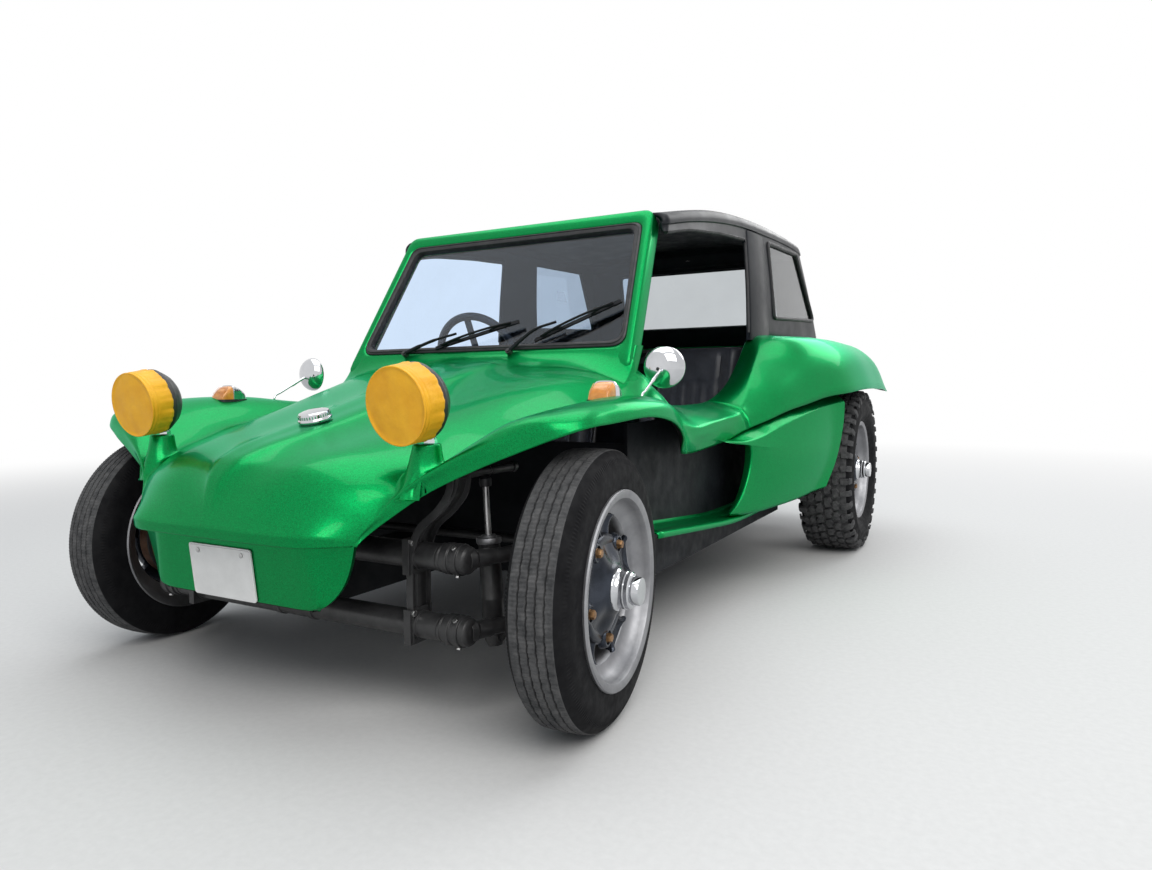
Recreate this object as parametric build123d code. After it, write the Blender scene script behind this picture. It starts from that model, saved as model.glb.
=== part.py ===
from build123d import *
import math
import os

# Dune buggy on a shortened floorpan, right-hand drive, fibreglass body with a hardtop.
# Millimetres. The car faces -Y, its left side is +X, the ground is z = 0.
# Sections below are written with y = 0 at the front axle. save() moves every piece so that
# the part's origin is the middle of its footprint.

# Overall layout
wheelbase = 2095.0
nose_overhang = 392.0
tail_overhang = 690.0
tail_y = wheelbase + tail_overhang
scuttle_y = 600.0
cockpit_join_y = wheelbase - 985.0
bulkhead_y = wheelbase - 395.0
front_axle_shift = (nose_overhang - wheelbase - tail_overhang) / 2
body_wall = 8.0
panel_clearance = 0.3

# Wheels and tyres
front_tyre_radius = 290.0
front_tyre_width = 165.0
front_rim_width = 140.0
front_wheel_x = 704.0
rear_tyre_radius = 338.0
rear_tyre_width = 255.0
rear_rim_width = 206.0
rear_wheel_x = 770.0
rear_drum_x = 646.0
front_drum_x = 652.0
rim_flange_radius = 203.0
bead_radius = 190.0
rim_wall = 7.0
rim_flange_width = 8.0
spoke_count = 5
nut_circle_radius = 102.5
nut_boss_radius = 19.0
nut_boss_height = 9.0
hub_pad_radius = 122.0
hub_bore_radius = 42.0
drum_radius = 116.0
cap_radius = 33.0
front_cap_reach = 16.0
rear_cap_reach = -40.0

# Steering
kingpin_x = 590.0
kingpin_radius = 15.0
rest_steer = 6.2
steering_ratio = 14.0
steering_arm = 110.0
tie_rod_z = 350.0
tie_rod_radius = 11.0
pitman_x = -250.0
steering_box_z = 405.0
column_radius = 19.0

# Front beam
beam_y = -150.0
beam_tube_radius = 28.5
beam_upper_z = 355.0
beam_lower_z = 205.0
beam_half_length = 425.0
tower_width = 60.0
tower_thickness = 10.0
tower_line = [(355, 170), (355, 360), (382, 415), (436, 460), (467, 500), (470, 538)]
arm_reach_x = 500.0
shock_y = -50.0
shock_top = (465.0, 528.0)
shock_bottom = (483.8, 150.0)

# Lamps and small fittings
lamp_x = 420.0
lamp_face_y = -270.0
lamp_z = 673.0
lamp_cover_radius = 77.0
lamp_cover_depth = 62.0
lamp_bowl_depth = 55.0
mirror_x = 650.0
mirror_y = 506.0
mirror_z = 755.0
mirror_radius = 55.0
fuel_cap_y = -89.0
fuel_cap_radius = 38.5
indicator_x = 642.0
indicator_y = 155.0
indicator_z = 672.0
plate_width = 200.0
plate_height = 116.0

# Windscreen, set on a plane through the lower edge of its rubber
screen_foot_y = 618.0
screen_foot_z = 829.0
screen_rake = 27.9
screen_half_bottom = 502.0
screen_half_top = 447.0
screen_height = 411.0
screen_frame_width = 42.0
screen_frame_foot = 85.0
screen_frame_half_foot = 584.0
screen_frame_depth = 42.0
screen_rubber = 14.0
screen_corner = 45.0

# Cabin
cabin_half_width = 550.0
floor_z = 205.0
floor_back_y = wheelbase - 315.0
floor_thickness = 12.0
tunnel_half_width = 95.0
tunnel_top_z = 350.0
seat_x = 318.0
seat_width = 425.0
seat_base_z = 250.0
seat_front_y = bulkhead_y - 690.0
shelf_z = 610.0
shelf_back_y = wheelbase + 275.0
hardtop_wall = 14.0
hardtop_front_y = 867.4
hardtop_foot_z = 896.1
hardtop_base_z = 860.0
rear_pane = (420.0, 992.0, 1290.0)
quarter_corners = [(-269, 974), (355, 1000), (150, 1290), (-297, 1278)]

# Rear axle and engine
axle_z = rear_tyre_radius
case_radius = 95.0
bell_radius = 150.0
bell_front_y = wheelbase + 135.0
engine_front_y = wheelbase + 180.0
engine_back_y = wheelbase + 545.0
cylinder_z = axle_z + 7.0
fin_count = 8
fin_pitch = 21.0
shroud_front_y = wheelbase + 305.0
shroud_foot_z = 470.0
generator_z = 590.0
torsion_tube_y = wheelbase - 259.0
rear_shock_top_y = wheelbase + 75.0
rear_shock_radius = 24.0
bumper_z = 420.0
bumper_radius = 22.0

# Side pods
lower_side_x = 604.0
ledge_margin = 12.2
pod_front_y = 925.0
pod_front_x = 700.0
pod_rear_top_y = wheelbase - 350.0
pod_flare = 0.208
pod_top_z = 490.0
pod_top_rise = 0.1587
pod_low_z = 300.0
pod_low_rise = 0.028
sill_front_y = 362.0
sill_front_z = 343.0

# The nose and bonnet, front to back. Columns: y, z at the centre line, x and z where the flat
# top ends, x and z of the valley where the wing begins.
bonnet_sections = [
    (-392, 442, 62, 440, 130, 406),
    (-372, 520, 130, 506, 262, 404),
    (-323, 563, 214, 548, 346, 404),
    (-260, 584, 258, 566, 398, 500),
    (-150, 613, 296, 594, 440, 560),
    (0, 652, 330, 630, 480, 590),
    (150, 692, 368, 664, 515, 612),
    (290, 729, 400, 698, 545, 632),
    (400, 757, 430, 722, 570, 650),
    (500, 781, 452, 744, 594, 668),
    (600, 806, 480, 770, 608, 690),
]

# The front wings. Each section stands upright between an inner and an outer y. Columns: inner y,
# outer y, then x and z of the valley, the rise, the crown and the lip.
wing_sections = [
    (-323, -250, 346, 404, 368, 432, 392, 460, 418, 482),
    (-291.5, -199, 372, 452, 436, 496, 512, 545, 590, 564),
    (-260, -172, 398, 500, 486, 542, 610, 606, 700, 604),
    (-150, -75, 440, 560, 528, 588, 665, 645, 742, 628),
    (0, 45, 480, 590, 568, 632, 690, 668, 768, 638),
    (150, 160, 515, 612, 592, 660, 700, 674, 778, 638),
    (290, 280, 545, 632, 612, 666, 704, 668, 778, 620),
    (400, 370, 570, 650, 628, 660, 700, 650, 764, 598),
    (500, 450, 594, 668, 636, 640, 684, 616, 738, 568),
    (600, 600, 608, 690, 640, 640, 666, 600, 686, 545),
]

# The body side beside the cockpit. Columns: share of the way from the scuttle to the join with
# the rear body, x and z of the cockpit edge, of the shoulder, of the crease, of the lower edge.
side_sections = [
    (0, 572, 700, 608, 690, 666, 600, 686, 545),
    (0.2, 554, 650, 604, 628, 673, 586, 662, 518),
    (0.69, 550, 644, 610, 626, 670, 602, 664, 528),
    (1, 550, 652, 610, 634, 676, 612, 688, 556),
]

# The rear wing and deck edge. Columns: y from the rear axle, x and z of the cockpit or hardtop
# edge, x and z of the crease, x and z of the shoulder, x and z of the lip.
rear_sections = [
    (-985, 550, 652, 664, 618, 680, 600, 700, 556),
    (-879, 550, 677, 652, 684, 712, 640, 742, 588),
    (-792, 550, 709, 640, 742, 742, 690, 772, 608),
    (-661, 550, 789, 622, 818, 778, 752, 812, 630),
    (-537, 550, 880, 604, 884, 812, 806, 854, 655),
    (-395, 550, 893, 610, 893, 846, 812, 902, 668),
    (-195, 550, 896, 620, 894, 872, 812, 926, 680),
    (105, 550, 896, 620, 892, 874, 806, 928, 680),
    (405, 550, 884, 620, 878, 862, 786, 916, 670),
    (545, 550, 858, 620, 850, 842, 756, 902, 662),
]

# The hardtop. Columns: y from the rear axle at the foot and at the roof, x at the foot, x and z where
# the side ends, x and z where the roof begins, z at the centre line.
hardtop_sections = [
    (-1245, -1245, 578, 506, 1196, 490, 1238, 1258),
    (-895, -895, 572, 534, 1262, 518, 1302, 1336),
    (-645, -645, 570, 546, 1284, 530, 1327, 1364),
    (-345, -345, 576, 552, 1296, 536, 1341, 1380),
    (-45, -45, 588, 555, 1304, 540, 1344, 1384),
    (205, 205, 598, 555, 1304, 540, 1340, 1378),
    (465, 265, 602, 550, 1296, 532, 1326, 1356),
]


def save(name, shape):
    """Writes one piece in the part's own frame."""
    os.makedirs("parts", exist_ok=True)
    export_step(Pos(0, front_axle_shift, 0) * shape, f"parts/{name}.step")


def mirrored(shape):
    return mirror(shape, about=Plane.YZ)


def pair(shape):
    return Compound([shape, mirrored(shape)])


def box(x0, x1, y0, y1, z0, z1):
    return Pos((x0 + x1) / 2, (y0 + y1) / 2, (z0 + z1) / 2) * Box(x1 - x0, y1 - y0, z1 - z0)


def rod(start, end, radius):
    """A round bar between two points."""
    a, b = Vector(*start), Vector(*end)
    return Plane(origin=a, z_dir=b - a) * Cylinder(
        radius, (b - a).length, align=(Align.CENTER, Align.CENTER, Align.MIN)
    )


def hoop(points, radius, bend):
    """A bent tube's solid along straight runs with equal bends."""
    line = FilletPolyline(*points, radius=bend)
    return sweep(Plane(origin=line @ 0, z_dir=line % 0) * Circle(radius), path=line)


def ring(points):
    return Face(Wire(Polyline(*points, close=True).edges()))


def band(points, thickness):
    """The outline of a strip that follows a line of (x, y) points."""
    line = [Vector(x, y, 0) for x, y in points]
    normals = [Vector(0, 0, 1).cross(b - a).normalized() for a, b in zip(line, line[1:])]
    bisectors = [normals[0]]
    for before, after in zip(normals, normals[1:]):
        bisectors.append((before + after) / (1 + before.dot(after)))
    bisectors.append(normals[-1])
    left = [p + n * (thickness / 2) for p, n in zip(line, bisectors)]
    right = [p - n * (thickness / 2) for p, n in zip(line, bisectors)]
    return Polyline(*left, *right[::-1], close=True)


def y_slanted(x, x_in, x_out, y_in, y_out):
    return y_in + (y_out - y_in) * (x - x_in) / (x_out - x_in)


def bonnet_face(y, centre_z, flat_x, flat_z, valley_x, valley_z):
    """An arch across the car, as thick as the body wall."""

    def half(side, inset):
        top = (side * flat_x, y, flat_z - inset)
        end_x = valley_x - inset
        end = (side * end_x, y, valley_z - 6)
        slope = (side * flat_x, 0, flat_z - centre_z)
        return top, end, TangentArc(top, end, tangent=slope)

    edges = []
    ends = []
    for inset in (0, body_wall):
        left_top, left_end, left_arc = half(1, inset)
        right_top, right_end, right_arc = half(-1, inset)
        middle = (0, y, centre_z - inset)
        edges += [left_arc, right_arc, Line(left_top, middle), Line(middle, right_top)]
        ends.append((left_end, right_end))
    edges.append(Line(ends[0][0], ends[1][0]))
    edges.append(Line(ends[0][1], ends[1][1]))
    return Face(Wire([e for line in edges for e in line.edges()]))


def walled(outline, wall):
    """Closes an open outline of x and z into a wall by adding its copy on the right-hand side."""
    turns = []
    for here, after in zip(outline, outline[1:]):
        length = math.dist(here, after)
        turns.append(((after[1] - here[1]) / length, (here[0] - after[0]) / length))
    inner = []
    for index, (x, z) in enumerate(outline):
        before = turns[max(index - 1, 0)]
        after = turns[min(index, len(turns) - 1)]
        nx, nz = before[0] + after[0], before[1] + after[1]
        scale = 2 * wall / (nx * nx + nz * nz)
        inner.append((x + nx * scale, z + nz * scale))
    return list(outline) + inner[::-1]


def wing_face(y_in, y_out, vx, vz, rx, rz, cx, cz, lx, lz):
    """An upright section of a wing from the valley over the crown to the lip."""
    high, low = max(cz, lz), min(cz, lz)
    roll = ((cx + lx) / 2 + 9, high - (high - low) * 0.3 + 3)
    outline = walled([(vx - 6, vz - 2), (rx, rz), (cx, cz), roll, (lx, lz)], body_wall)
    return ring([(x, y_slanted(x, vx, lx, y_in, y_out), z) for x, z in outline])


def strip_face(y, outline, flange):
    """A wall that follows an outline of x and z, with a short turned-in edge at its start."""
    first = outline[0]
    points = walled([(first[0], first[1] - flange)] + list(outline), body_wall)
    return ring([(x, y, z) for x, z in points])


def make_bonnet():
    arches = [bonnet_face(*row) for row in bonnet_sections]
    return loft(arches, ruled=True)


def make_wing():
    return loft([wing_face(*row) for row in wing_sections], ruled=True)


def make_nose_panel():
    """The flat lower panel with its two angled corners, set back under the bonnet's edge."""
    plan_top = [(-336, -318), (-254, -352), (254, -352), (336, -318)]
    plan_bottom = [(-262, -326), (-236, -336), (236, -336), (262, -326)]
    faces = []
    for plan, z in ((plan_bottom, 262), (plan_top, 412)):
        back = [(x * 0.975, y + body_wall) for x, y in plan[::-1]]
        faces.append(ring([(x, y, z) for x, y in plan + back]))
    return loft(faces, ruled=True)


def make_nose_lip():
    """The return under the bonnet's front edge and the small face that closes its tip."""
    front = [(y, x) for y, _, _, _, x, _ in bonnet_sections[:3]]
    (y0, x0), (y1, x1), (y2, x2) = front
    plan = [(-x2, y2), (-x1, y1), (-x0, y0), (x0, y0), (x1, y1), (x2, y2)]
    plan += [(328, -296), (250, -340), (-250, -340), (-328, -296)]
    lip = Pos(0, 0, 404) * extrude(make_face(Polyline(*plan, close=True)), body_wall)
    y, centre_z, flat_x, flat_z, edge_x, edge_z = bonnet_sections[0]
    tip = ring([(-edge_x, y, 404), (-flat_x, y, flat_z), (0, y, centre_z), (flat_x, y, flat_z),
                (edge_x, y, 404)])
    return lip + extrude(tip, body_wall, dir=(0, 1, 0))


def make_body_front():
    wing = make_wing()
    pod = loft(
        [
            Plane(origin=(412, -195, 482)) * Ellipse(32, 40),
            Plane(origin=(lamp_x, lamp_face_y + lamp_cover_depth + 22, lamp_z - 78)) * Ellipse(20, 24),
        ]
    )
    cap_seat = Pos(0, fuel_cap_y, 628) * Cylinder(fuel_cap_radius + 6, 24)
    body = make_bonnet() + make_nose_lip() + make_nose_panel()
    for piece in (wing, mirrored(wing), pod, mirrored(pod), cap_seat):
        body = body + piece
    ceiling = box(-800, 800, -500, 599.9, 0, 2000)
    return body & ceiling


def screen_plane(back=0.0):
    rake = math.radians(screen_rake)
    up = Vector(0, math.sin(rake), math.cos(rake))
    normal = Vector(0, -math.cos(rake), math.sin(rake))
    origin = Vector(0, screen_foot_y, screen_foot_z) - normal * back
    return Plane(origin=origin, x_dir=(1, 0, 0), z_dir=normal), up


def screen_outline(grow, corner):
    """The rubber's outline on the windscreen plane, grown by a margin."""
    b, t = screen_half_bottom + grow, screen_half_top + grow
    points = [(-b, -grow), (b, -grow), (t, screen_height + grow), (-t, screen_height + grow)]
    return fillet(make_face(Polyline(*points, close=True)).vertices(), corner)


def make_windscreen():
    plane, _ = screen_plane()
    top_half = screen_half_top + screen_frame_width
    outer = make_face(Polyline(
        (-screen_frame_half_foot, -screen_frame_foot), (screen_frame_half_foot, -screen_frame_foot),
        (top_half, screen_height + screen_frame_width), (-top_half, screen_height + screen_frame_width),
        close=True,
    ))
    front = plane * extrude(fillet(outer.vertices(), screen_corner - 10), -screen_frame_depth)
    hole = plane.offset(10) * extrude(screen_outline(0, screen_corner - 8), -screen_frame_depth - 20)
    foot = extrude(
        plane * make_face(Polyline((-560, -42), (560, -42), (620, -132), (-620, -132), close=True)),
        -screen_frame_depth,
    )
    frame = (front + foot) - hole
    rubber_plane = plane.offset(3)
    rubber = rubber_plane * extrude(
        screen_outline(-panel_clearance, screen_corner - 8) - screen_outline(-screen_rubber, 26), -24
    )
    glass = plane.offset(-6) * extrude(
        screen_outline(-screen_rubber - panel_clearance, 26), -6
    )
    return frame, rubber, glass


def placed_sides():
    reach = cockpit_join_y - scuttle_y
    return [(scuttle_y + share * reach, *row) for share, *row in side_sections]


def placed_rear(rows):
    return [(wheelbase + y, *row) for y, *row in rows]


def make_body_side():
    faces = [
        strip_face(y, [(ex, ez), (hx, hz), (cx, cz), (lx, lz)], 70)
        for y, ex, ez, hx, hz, cx, cz, lx, lz in placed_sides()
    ]
    return loft(faces, ruled=True)


def make_rear_wing():
    faces = [
        strip_face(y, [(ex, ez), (cx, cz), (sx, sz), (lx, lz)], 70)
        for y, ex, ez, cx, cz, sx, sz, lx, lz in placed_rear(rear_sections)
    ]
    return loft(faces, ruled=True)


def body_end_y():
    return wheelbase + rear_sections[-1][0]


def make_body_rear():
    wing = make_rear_wing()
    deck_y = shelf_back_y + 10
    end_y = body_end_y()
    faces = []
    for y, z in ((deck_y, 884), (end_y, 853)):
        faces.append(ring([(-554, y, z - body_wall), (554, y, z - body_wall), (554, y, z), (-554, y, z)]))
    deck = loft(faces, ruled=True)
    half = [(840, 755), (620, 848), (0, 848)]
    outline = [(-x, z) for x, z in half] + [(x, z) for x, z in half[-2::-1]] + [(800, 672), (-800, 672)]
    tail_face = make_face(Polyline(*outline, close=True))
    tail = extrude(Plane.XZ.offset(-end_y + 4) * tail_face, -body_wall - 4)
    return wing + mirrored(wing) + deck + tail


def pod_face(y):
    """The pod's wall at one station: top shelf, outer panel and floor."""
    x = pod_front_x + pod_flare * (y - pod_front_y)
    top_z = pod_top_z + pod_top_rise * (y - pod_front_y)
    low_z = pod_low_z + pod_low_rise * (y - pod_front_y)
    outline = walled([(664.3, top_z + 10), (x, top_z), (x, low_z), (lower_side_x + 4.6, low_z)], body_wall)
    return ring([(px, y, pz) for px, pz in outline])


def make_side_pod():
    """The flared side pod with its open front and the sill flange ahead of it."""
    skin = loft([pod_face(pod_front_y - 40), pod_face(pod_rear_top_y + 20)], ruled=True)
    shelf_y = pod_front_y + 127
    outline = [
        Line((pod_front_y, 270), (pod_rear_top_y - 185, 270)),
        Line((pod_rear_top_y - 185, 270), (pod_rear_top_y, 660)),
        Line((pod_rear_top_y, 660), (pod_front_y - 30, 660)),
        Line((pod_front_y - 30, 660), (pod_front_y - 30, 480)),
        Line((pod_front_y - 30, 480), (shelf_y, 480)),
        ThreePointArc((shelf_y, 480), (shelf_y - 26, 390), (pod_front_y, 296)),
        Line((pod_front_y, 296), (pod_front_y, 270)),
    ]
    profile = Face(Wire([e for line in outline for e in line.edges()]))
    skin = skin & extrude(Plane.YZ * profile, 1000)
    corner = Polyline((672, pod_front_y - 60), (726, shelf_y), (900, shelf_y), (900, pod_front_y - 60), close=True)
    skin = skin - Pos(0, 0, 440) * extrude(make_face(corner), 300)
    sill_end_y = pod_front_y + 10
    sill_line = Polyline(
        (sill_front_y, sill_front_z), (sill_end_y, pod_low_z), (sill_end_y, pod_low_z + body_wall),
        (sill_front_y, sill_front_z + body_wall), close=True,
    )
    inner_x = lower_side_x + 4.6
    sill = Pos(inner_x, 0, 0) * extrude(Plane.YZ * make_face(sill_line), pod_front_x - inner_x)
    return skin + sill


def hardtop_ring(row, inset, step):
    """One section of the hardtop, drawn in by an inset and moved along by a step. It leans where
    the roof's y differs from the foot's."""
    foot_y, roof_y, foot_x, side_x, side_z, roof_x, roof_z, centre_z = row
    half = [
        (foot_x - inset, hardtop_base_z - inset * 6),
        (side_x - inset, side_z - inset * 0.4),
        (roof_x - inset * 0.6, roof_z - inset),
        (0, centre_z - inset),
    ]
    lean = (roof_y - foot_y) / (centre_z - hardtop_base_z)
    full = half + [(-x, z) for x, z in half[-2::-1]]
    return ring([(x, wheelbase + foot_y + step + lean * (z - hardtop_base_z), z) for x, z in full])


def hardtop_solid(inset, front_step, back_step):
    """The hardtop as a full block, drawn in by an inset, with its ends moved along."""
    steps = [front_step] + [0] * (len(hardtop_sections) - 2) + [back_step]
    return loft([hardtop_ring(row, inset, step) for row, step in zip(hardtop_sections, steps)], ruled=True)


def quarter_pane(margin):
    corners = [(wheelbase + y, z) for y, z in quarter_corners]
    outline = make_face(Polyline(*corners, close=True))
    pane = fillet(outline.vertices(), 18)
    return offset(pane, -margin) if margin else pane


def rear_pane_cut(margin):
    """A block that runs through the leaning back panel, as wide and high as its window."""
    half, low, high = rear_pane
    return box(-half + margin, half - margin, shelf_back_y - 110, wheelbase + 500, low + margin, high - margin)


def make_hardtop():
    """The moulded top: a shell with its doorways, quarter windows and rear window cut out."""
    shell = hardtop_solid(0, 0, 0) - hardtop_solid(hardtop_wall, -10, -hardtop_wall)
    post_y = bulkhead_y - 192
    door = Polyline(
        (760, 800), (post_y, 800), (post_y + 18, 1252), (bulkhead_y - 430, 1236), (1000, 1207),
        (834, 1176), (760, 1150), close=True,
    )
    door_cut = extrude(Plane.YZ * make_face(door), 700, both=True)
    quarter_cut = extrude(Plane.YZ * quarter_pane(0), 700, both=True)
    shell = shell - rear_pane_cut(0) - door_cut - quarter_cut
    foot = Polyline(
        (hardtop_front_y, hardtop_foot_z), (wheelbase + 105, hardtop_foot_z),
        (wheelbase + 405, hardtop_foot_z - 12), (wheelbase + 500, hardtop_foot_z - 24),
        (wheelbase + 500, 1500), (hardtop_front_y, 1500), close=True,
    )
    return shell & extrude(Plane.YZ * make_face(foot), 700, both=True)


def make_hardtop_glass():
    skin = hardtop_solid(4, 0, -4) - hardtop_solid(10, -10, -10)
    back = skin & rear_pane_cut(panel_clearance)
    side = skin & extrude(Plane.YZ * quarter_pane(panel_clearance), 700)
    return Compound(list(back.solids()) + list(side.solids()) + list(mirrored(side).solids()))


def ledge_height(row, x):
    """Height of a body section between its cockpit edge and its crease."""
    y, edge_x, edge_z, crease_x, crease_z = row[:5]
    return y, edge_z + (crease_z - edge_z) * (x - edge_x) / (crease_x - edge_x)


def make_lower_sides():
    """The upright black panels between the floor and the underside of the body's ledge."""
    rows = placed_sides() + placed_rear(rear_sections[1:6])
    top = [ledge_height(row, lower_side_x) for row in rows]
    top = [(y, z - ledge_margin) for y, z in top[1:]]
    last_y = top[-1][0]
    outline = [(sill_front_y, 612), *top, (last_y, 560), (floor_back_y, 400)]
    outline += [(floor_back_y, floor_z - floor_thickness), (sill_front_y, floor_z - floor_thickness)]
    face = Plane.YZ * make_face(Polyline(*outline, close=True))
    return pair(Pos(lower_side_x - body_wall / 2 + 0.3, 0, 0) * extrude(face, body_wall))


def make_floor():
    pan = box(-600, 600, 380, floor_back_y, floor_z - floor_thickness, floor_z)
    tunnel = box(-tunnel_half_width, tunnel_half_width, 380, floor_back_y, floor_z, tunnel_top_z)
    head = box(-70, 70, beam_y + beam_tube_radius + 1, 380, floor_z, 300)
    toe_board = box(-600, 600, 380, 392, floor_z, 560)
    sills = box(560, 600, 392, floor_back_y, floor_z, 260)
    runner_top = seat_base_z - panel_clearance
    first_y, last_y = seat_front_y + 30, seat_front_y + 430
    runners = box(seat_x - 160, seat_x - 120, first_y, last_y, floor_z, runner_top)
    runners = runners + box(seat_x + 120, seat_x + 160, first_y, last_y, floor_z, runner_top)
    floor = pan + tunnel + head + (toe_board - column_passage())
    for piece in (sills, mirrored(sills), runners, mirrored(runners)):
        floor = floor + piece
    return floor


def make_rear_shelf():
    half = cabin_half_width - panel_clearance
    bulkhead = box(-half, half, bulkhead_y, bulkhead_y + 10, tunnel_top_z + panel_clearance, shelf_z)
    shelf = box(-half, half, bulkhead_y, shelf_back_y, shelf_z, shelf_z + 10)
    wall = box(half - 10, half, bulkhead_y, shelf_back_y, shelf_z, 870)
    back = box(-half, half, shelf_back_y - 10, shelf_back_y, shelf_z, 870)
    return bulkhead + shelf + wall + mirrored(wall) + back


wheel_centre = Vector(-268, 950, 800)
column_lean = 22.0


def column_axis():
    lean = math.radians(column_lean)
    return Vector(0, math.cos(lean), math.sin(lean))


def column_passage():
    top = wheel_centre - column_axis() * 20
    return rod(top - column_axis() * 800, top, column_radius + panel_clearance)


def make_dashboard():
    profile = Polyline((664, 788), (744, 778), (756, 640), (742, 630), (726, 760), (664, 770), close=True)
    panel = extrude(Plane.YZ * make_face(profile), 530, both=True)
    return panel - column_passage()


def make_steering_wheel():
    plane = Plane(origin=wheel_centre, x_dir=(1, 0, 0), z_dir=column_axis())
    rim = plane * Torus(170, 14)
    spoke_angles = [angle + rest_steer * steering_ratio for angle in (0, 180, 270)]
    boss = plane * Cylinder(32, 40)
    spokes = [plane * Rot(0, 0, a) * Pos(88, 0, 0) * Box(150, 26, 5) for a in spoke_angles]
    wheel = rim + boss
    for spoke in spokes:
        wheel = wheel + spoke
    return wheel


def make_column():
    top = wheel_centre - column_axis() * 20.3
    reach = (top.Y - 48) / column_axis().Y
    return rod(top - column_axis() * reach, top, column_radius)


def make_seat():
    """A bucket seat as one plain closed form: cushion and backrest."""
    front = seat_front_y
    cushion = Polyline(
        (front, 300), (front, 395), (front + 470, 345), (front + 470, seat_base_z),
        (front + 20, seat_base_z), close=True,
    )
    back = Polyline(
        (front + 430, 345), (front + 550, 860), (front + 630, 850), (front + 550, 290),
        (front + 430, 290), close=True,
    )
    side = make_face(cushion) + make_face(back)
    solid = extrude(Plane.YZ * side, seat_width / 2, both=True)
    return Pos(seat_x, 0, 0) * solid


def make_levers():
    gate = box(-30, 30, 950, 1010, tunnel_top_z, tunnel_top_z + 6)
    gear = gate + rod((0, 980, tunnel_top_z + 4), (0, 920, 620), 7) + Pos(0, 920, 630) * Sphere(24)
    mount = box(-14, 14, 1150, 1210, tunnel_top_z, tunnel_top_z + 24)
    brake = mount + rod((0, 1180, tunnel_top_z + 12), (0, 1010, 440), 10)
    return gear, brake


def make_lamp():
    bowl_y = lamp_face_y + lamp_cover_depth
    bowl = Pos(lamp_x, bowl_y + 0.3, lamp_z) * Rot(-90, 0, 0) * Cone(
        lamp_cover_radius - 3, 34, lamp_bowl_depth, align=(Align.CENTER, Align.CENTER, Align.MIN)
    )
    stud = rod((lamp_x, bowl_y + 22, lamp_z - 77.7), (lamp_x, bowl_y + 22, lamp_z - 40), 9)
    cover = Pos(lamp_x, lamp_face_y, lamp_z) * Rot(-90, 0, 0) * Cylinder(
        lamp_cover_radius, lamp_cover_depth, align=(Align.CENTER, Align.CENTER, Align.MIN)
    )
    return bowl + stud, cover


def seated(shape, wing):
    """Ends a shape just above the surface it stands on."""
    cut = shape - Pos(0, 0, panel_clearance) * wing
    return max(cut.solids(), key=lambda piece: piece.volume)


def make_mirror(wing):
    dome = Pos(mirror_x, mirror_y, mirror_z) * Rot(90, 0, 0) * (
        Sphere(mirror_radius) & Pos(0, 0, mirror_radius / 2) * Box(200, 200, mirror_radius)
    )
    stem = rod((mirror_x + 4, 355, 652), (mirror_x, mirror_y - 20, mirror_z - 40), 6)
    return seated(dome + stem, wing)


def make_fuel_cap():
    return Pos(0, fuel_cap_y, 640.3) * Cylinder(fuel_cap_radius, 24, align=(Align.CENTER, Align.CENTER, Align.MIN))


def make_indicator(wing):
    block = box(indicator_x - 38, indicator_x + 38, indicator_y, indicator_y + 42,
                indicator_z - 14, indicator_z + 40)
    return seated(fillet(block.edges().filter_by(Axis.Z), 6), wing)


def make_number_plate():
    """A blank plate, flat against the nose panel."""
    lean = math.degrees(math.atan2(16, 150))
    plate = Plane.XZ * RectangleRounded(plate_width, plate_height, 12)
    return Pos(-20, -342.3, 318) * Rot(lean, 0, 0) * extrude(plate, 3)


def make_wiper(pivot_x, tip_x, tip_rise):
    plane, up = screen_plane(-9)
    base = plane.origin + Vector(pivot_x, 0, 0) - up * 14
    tip = plane.origin + Vector(tip_x, 0, 0) + up * tip_rise
    spindle = rod(base + plane.z_dir * (panel_clearance - 9), base, 8)
    return rod(base, tip, 5) + spindle


def make_beam():
    tubes = [
        rod((-beam_half_length, beam_y, z), (beam_half_length, beam_y, z), beam_tube_radius)
        for z in (beam_upper_z, beam_lower_z)
    ]
    strip = Plane.XZ.offset(-beam_y - tower_width / 2) * make_face(band(tower_line, tower_thickness))
    tower = extrude(strip, tower_width)
    top_pin = rod((shock_top[0], beam_y, shock_top[1]), (shock_top[0], shock_y + 12, shock_top[1]), 12)
    side = tower + top_pin
    return tubes[0] + tubes[1] + side + mirrored(side)


def make_trailing_arms():
    pieces = []
    for z in (beam_upper_z, beam_lower_z):
        pieces.append(rod((beam_half_length + 0.3, beam_y, z), (arm_reach_x, beam_y, z), 24))
        pieces.append(rod((arm_reach_x - 20, beam_y, z), (545, -14, z), 16))
    carrier = box(535, 562, -30, 16, beam_lower_z - 24, beam_upper_z + 24)
    arm = pieces[0] + pieces[1] + pieces[2] + pieces[3] + carrier
    arm = arm + rod((506.3, shock_y, beam_lower_z), (530, shock_y, beam_lower_z), 9)
    return pair(arm)


def make_front_shock():
    top = (shock_top[0], shock_y, shock_top[1] - 12.3)
    bottom = (shock_bottom[0], shock_y, shock_bottom[1])
    split = (474.0, shock_y, 380.0)
    return rod(bottom, split, 24) + rod(split, top, 7)


def steered(shape, side):
    """Turns a shape about its kingpin to the angle at which the wheels stand."""
    axis = Axis((side * kingpin_x, 0, 0), (0, 0, 1))
    return shape.rotate(axis, rest_steer)


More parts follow.
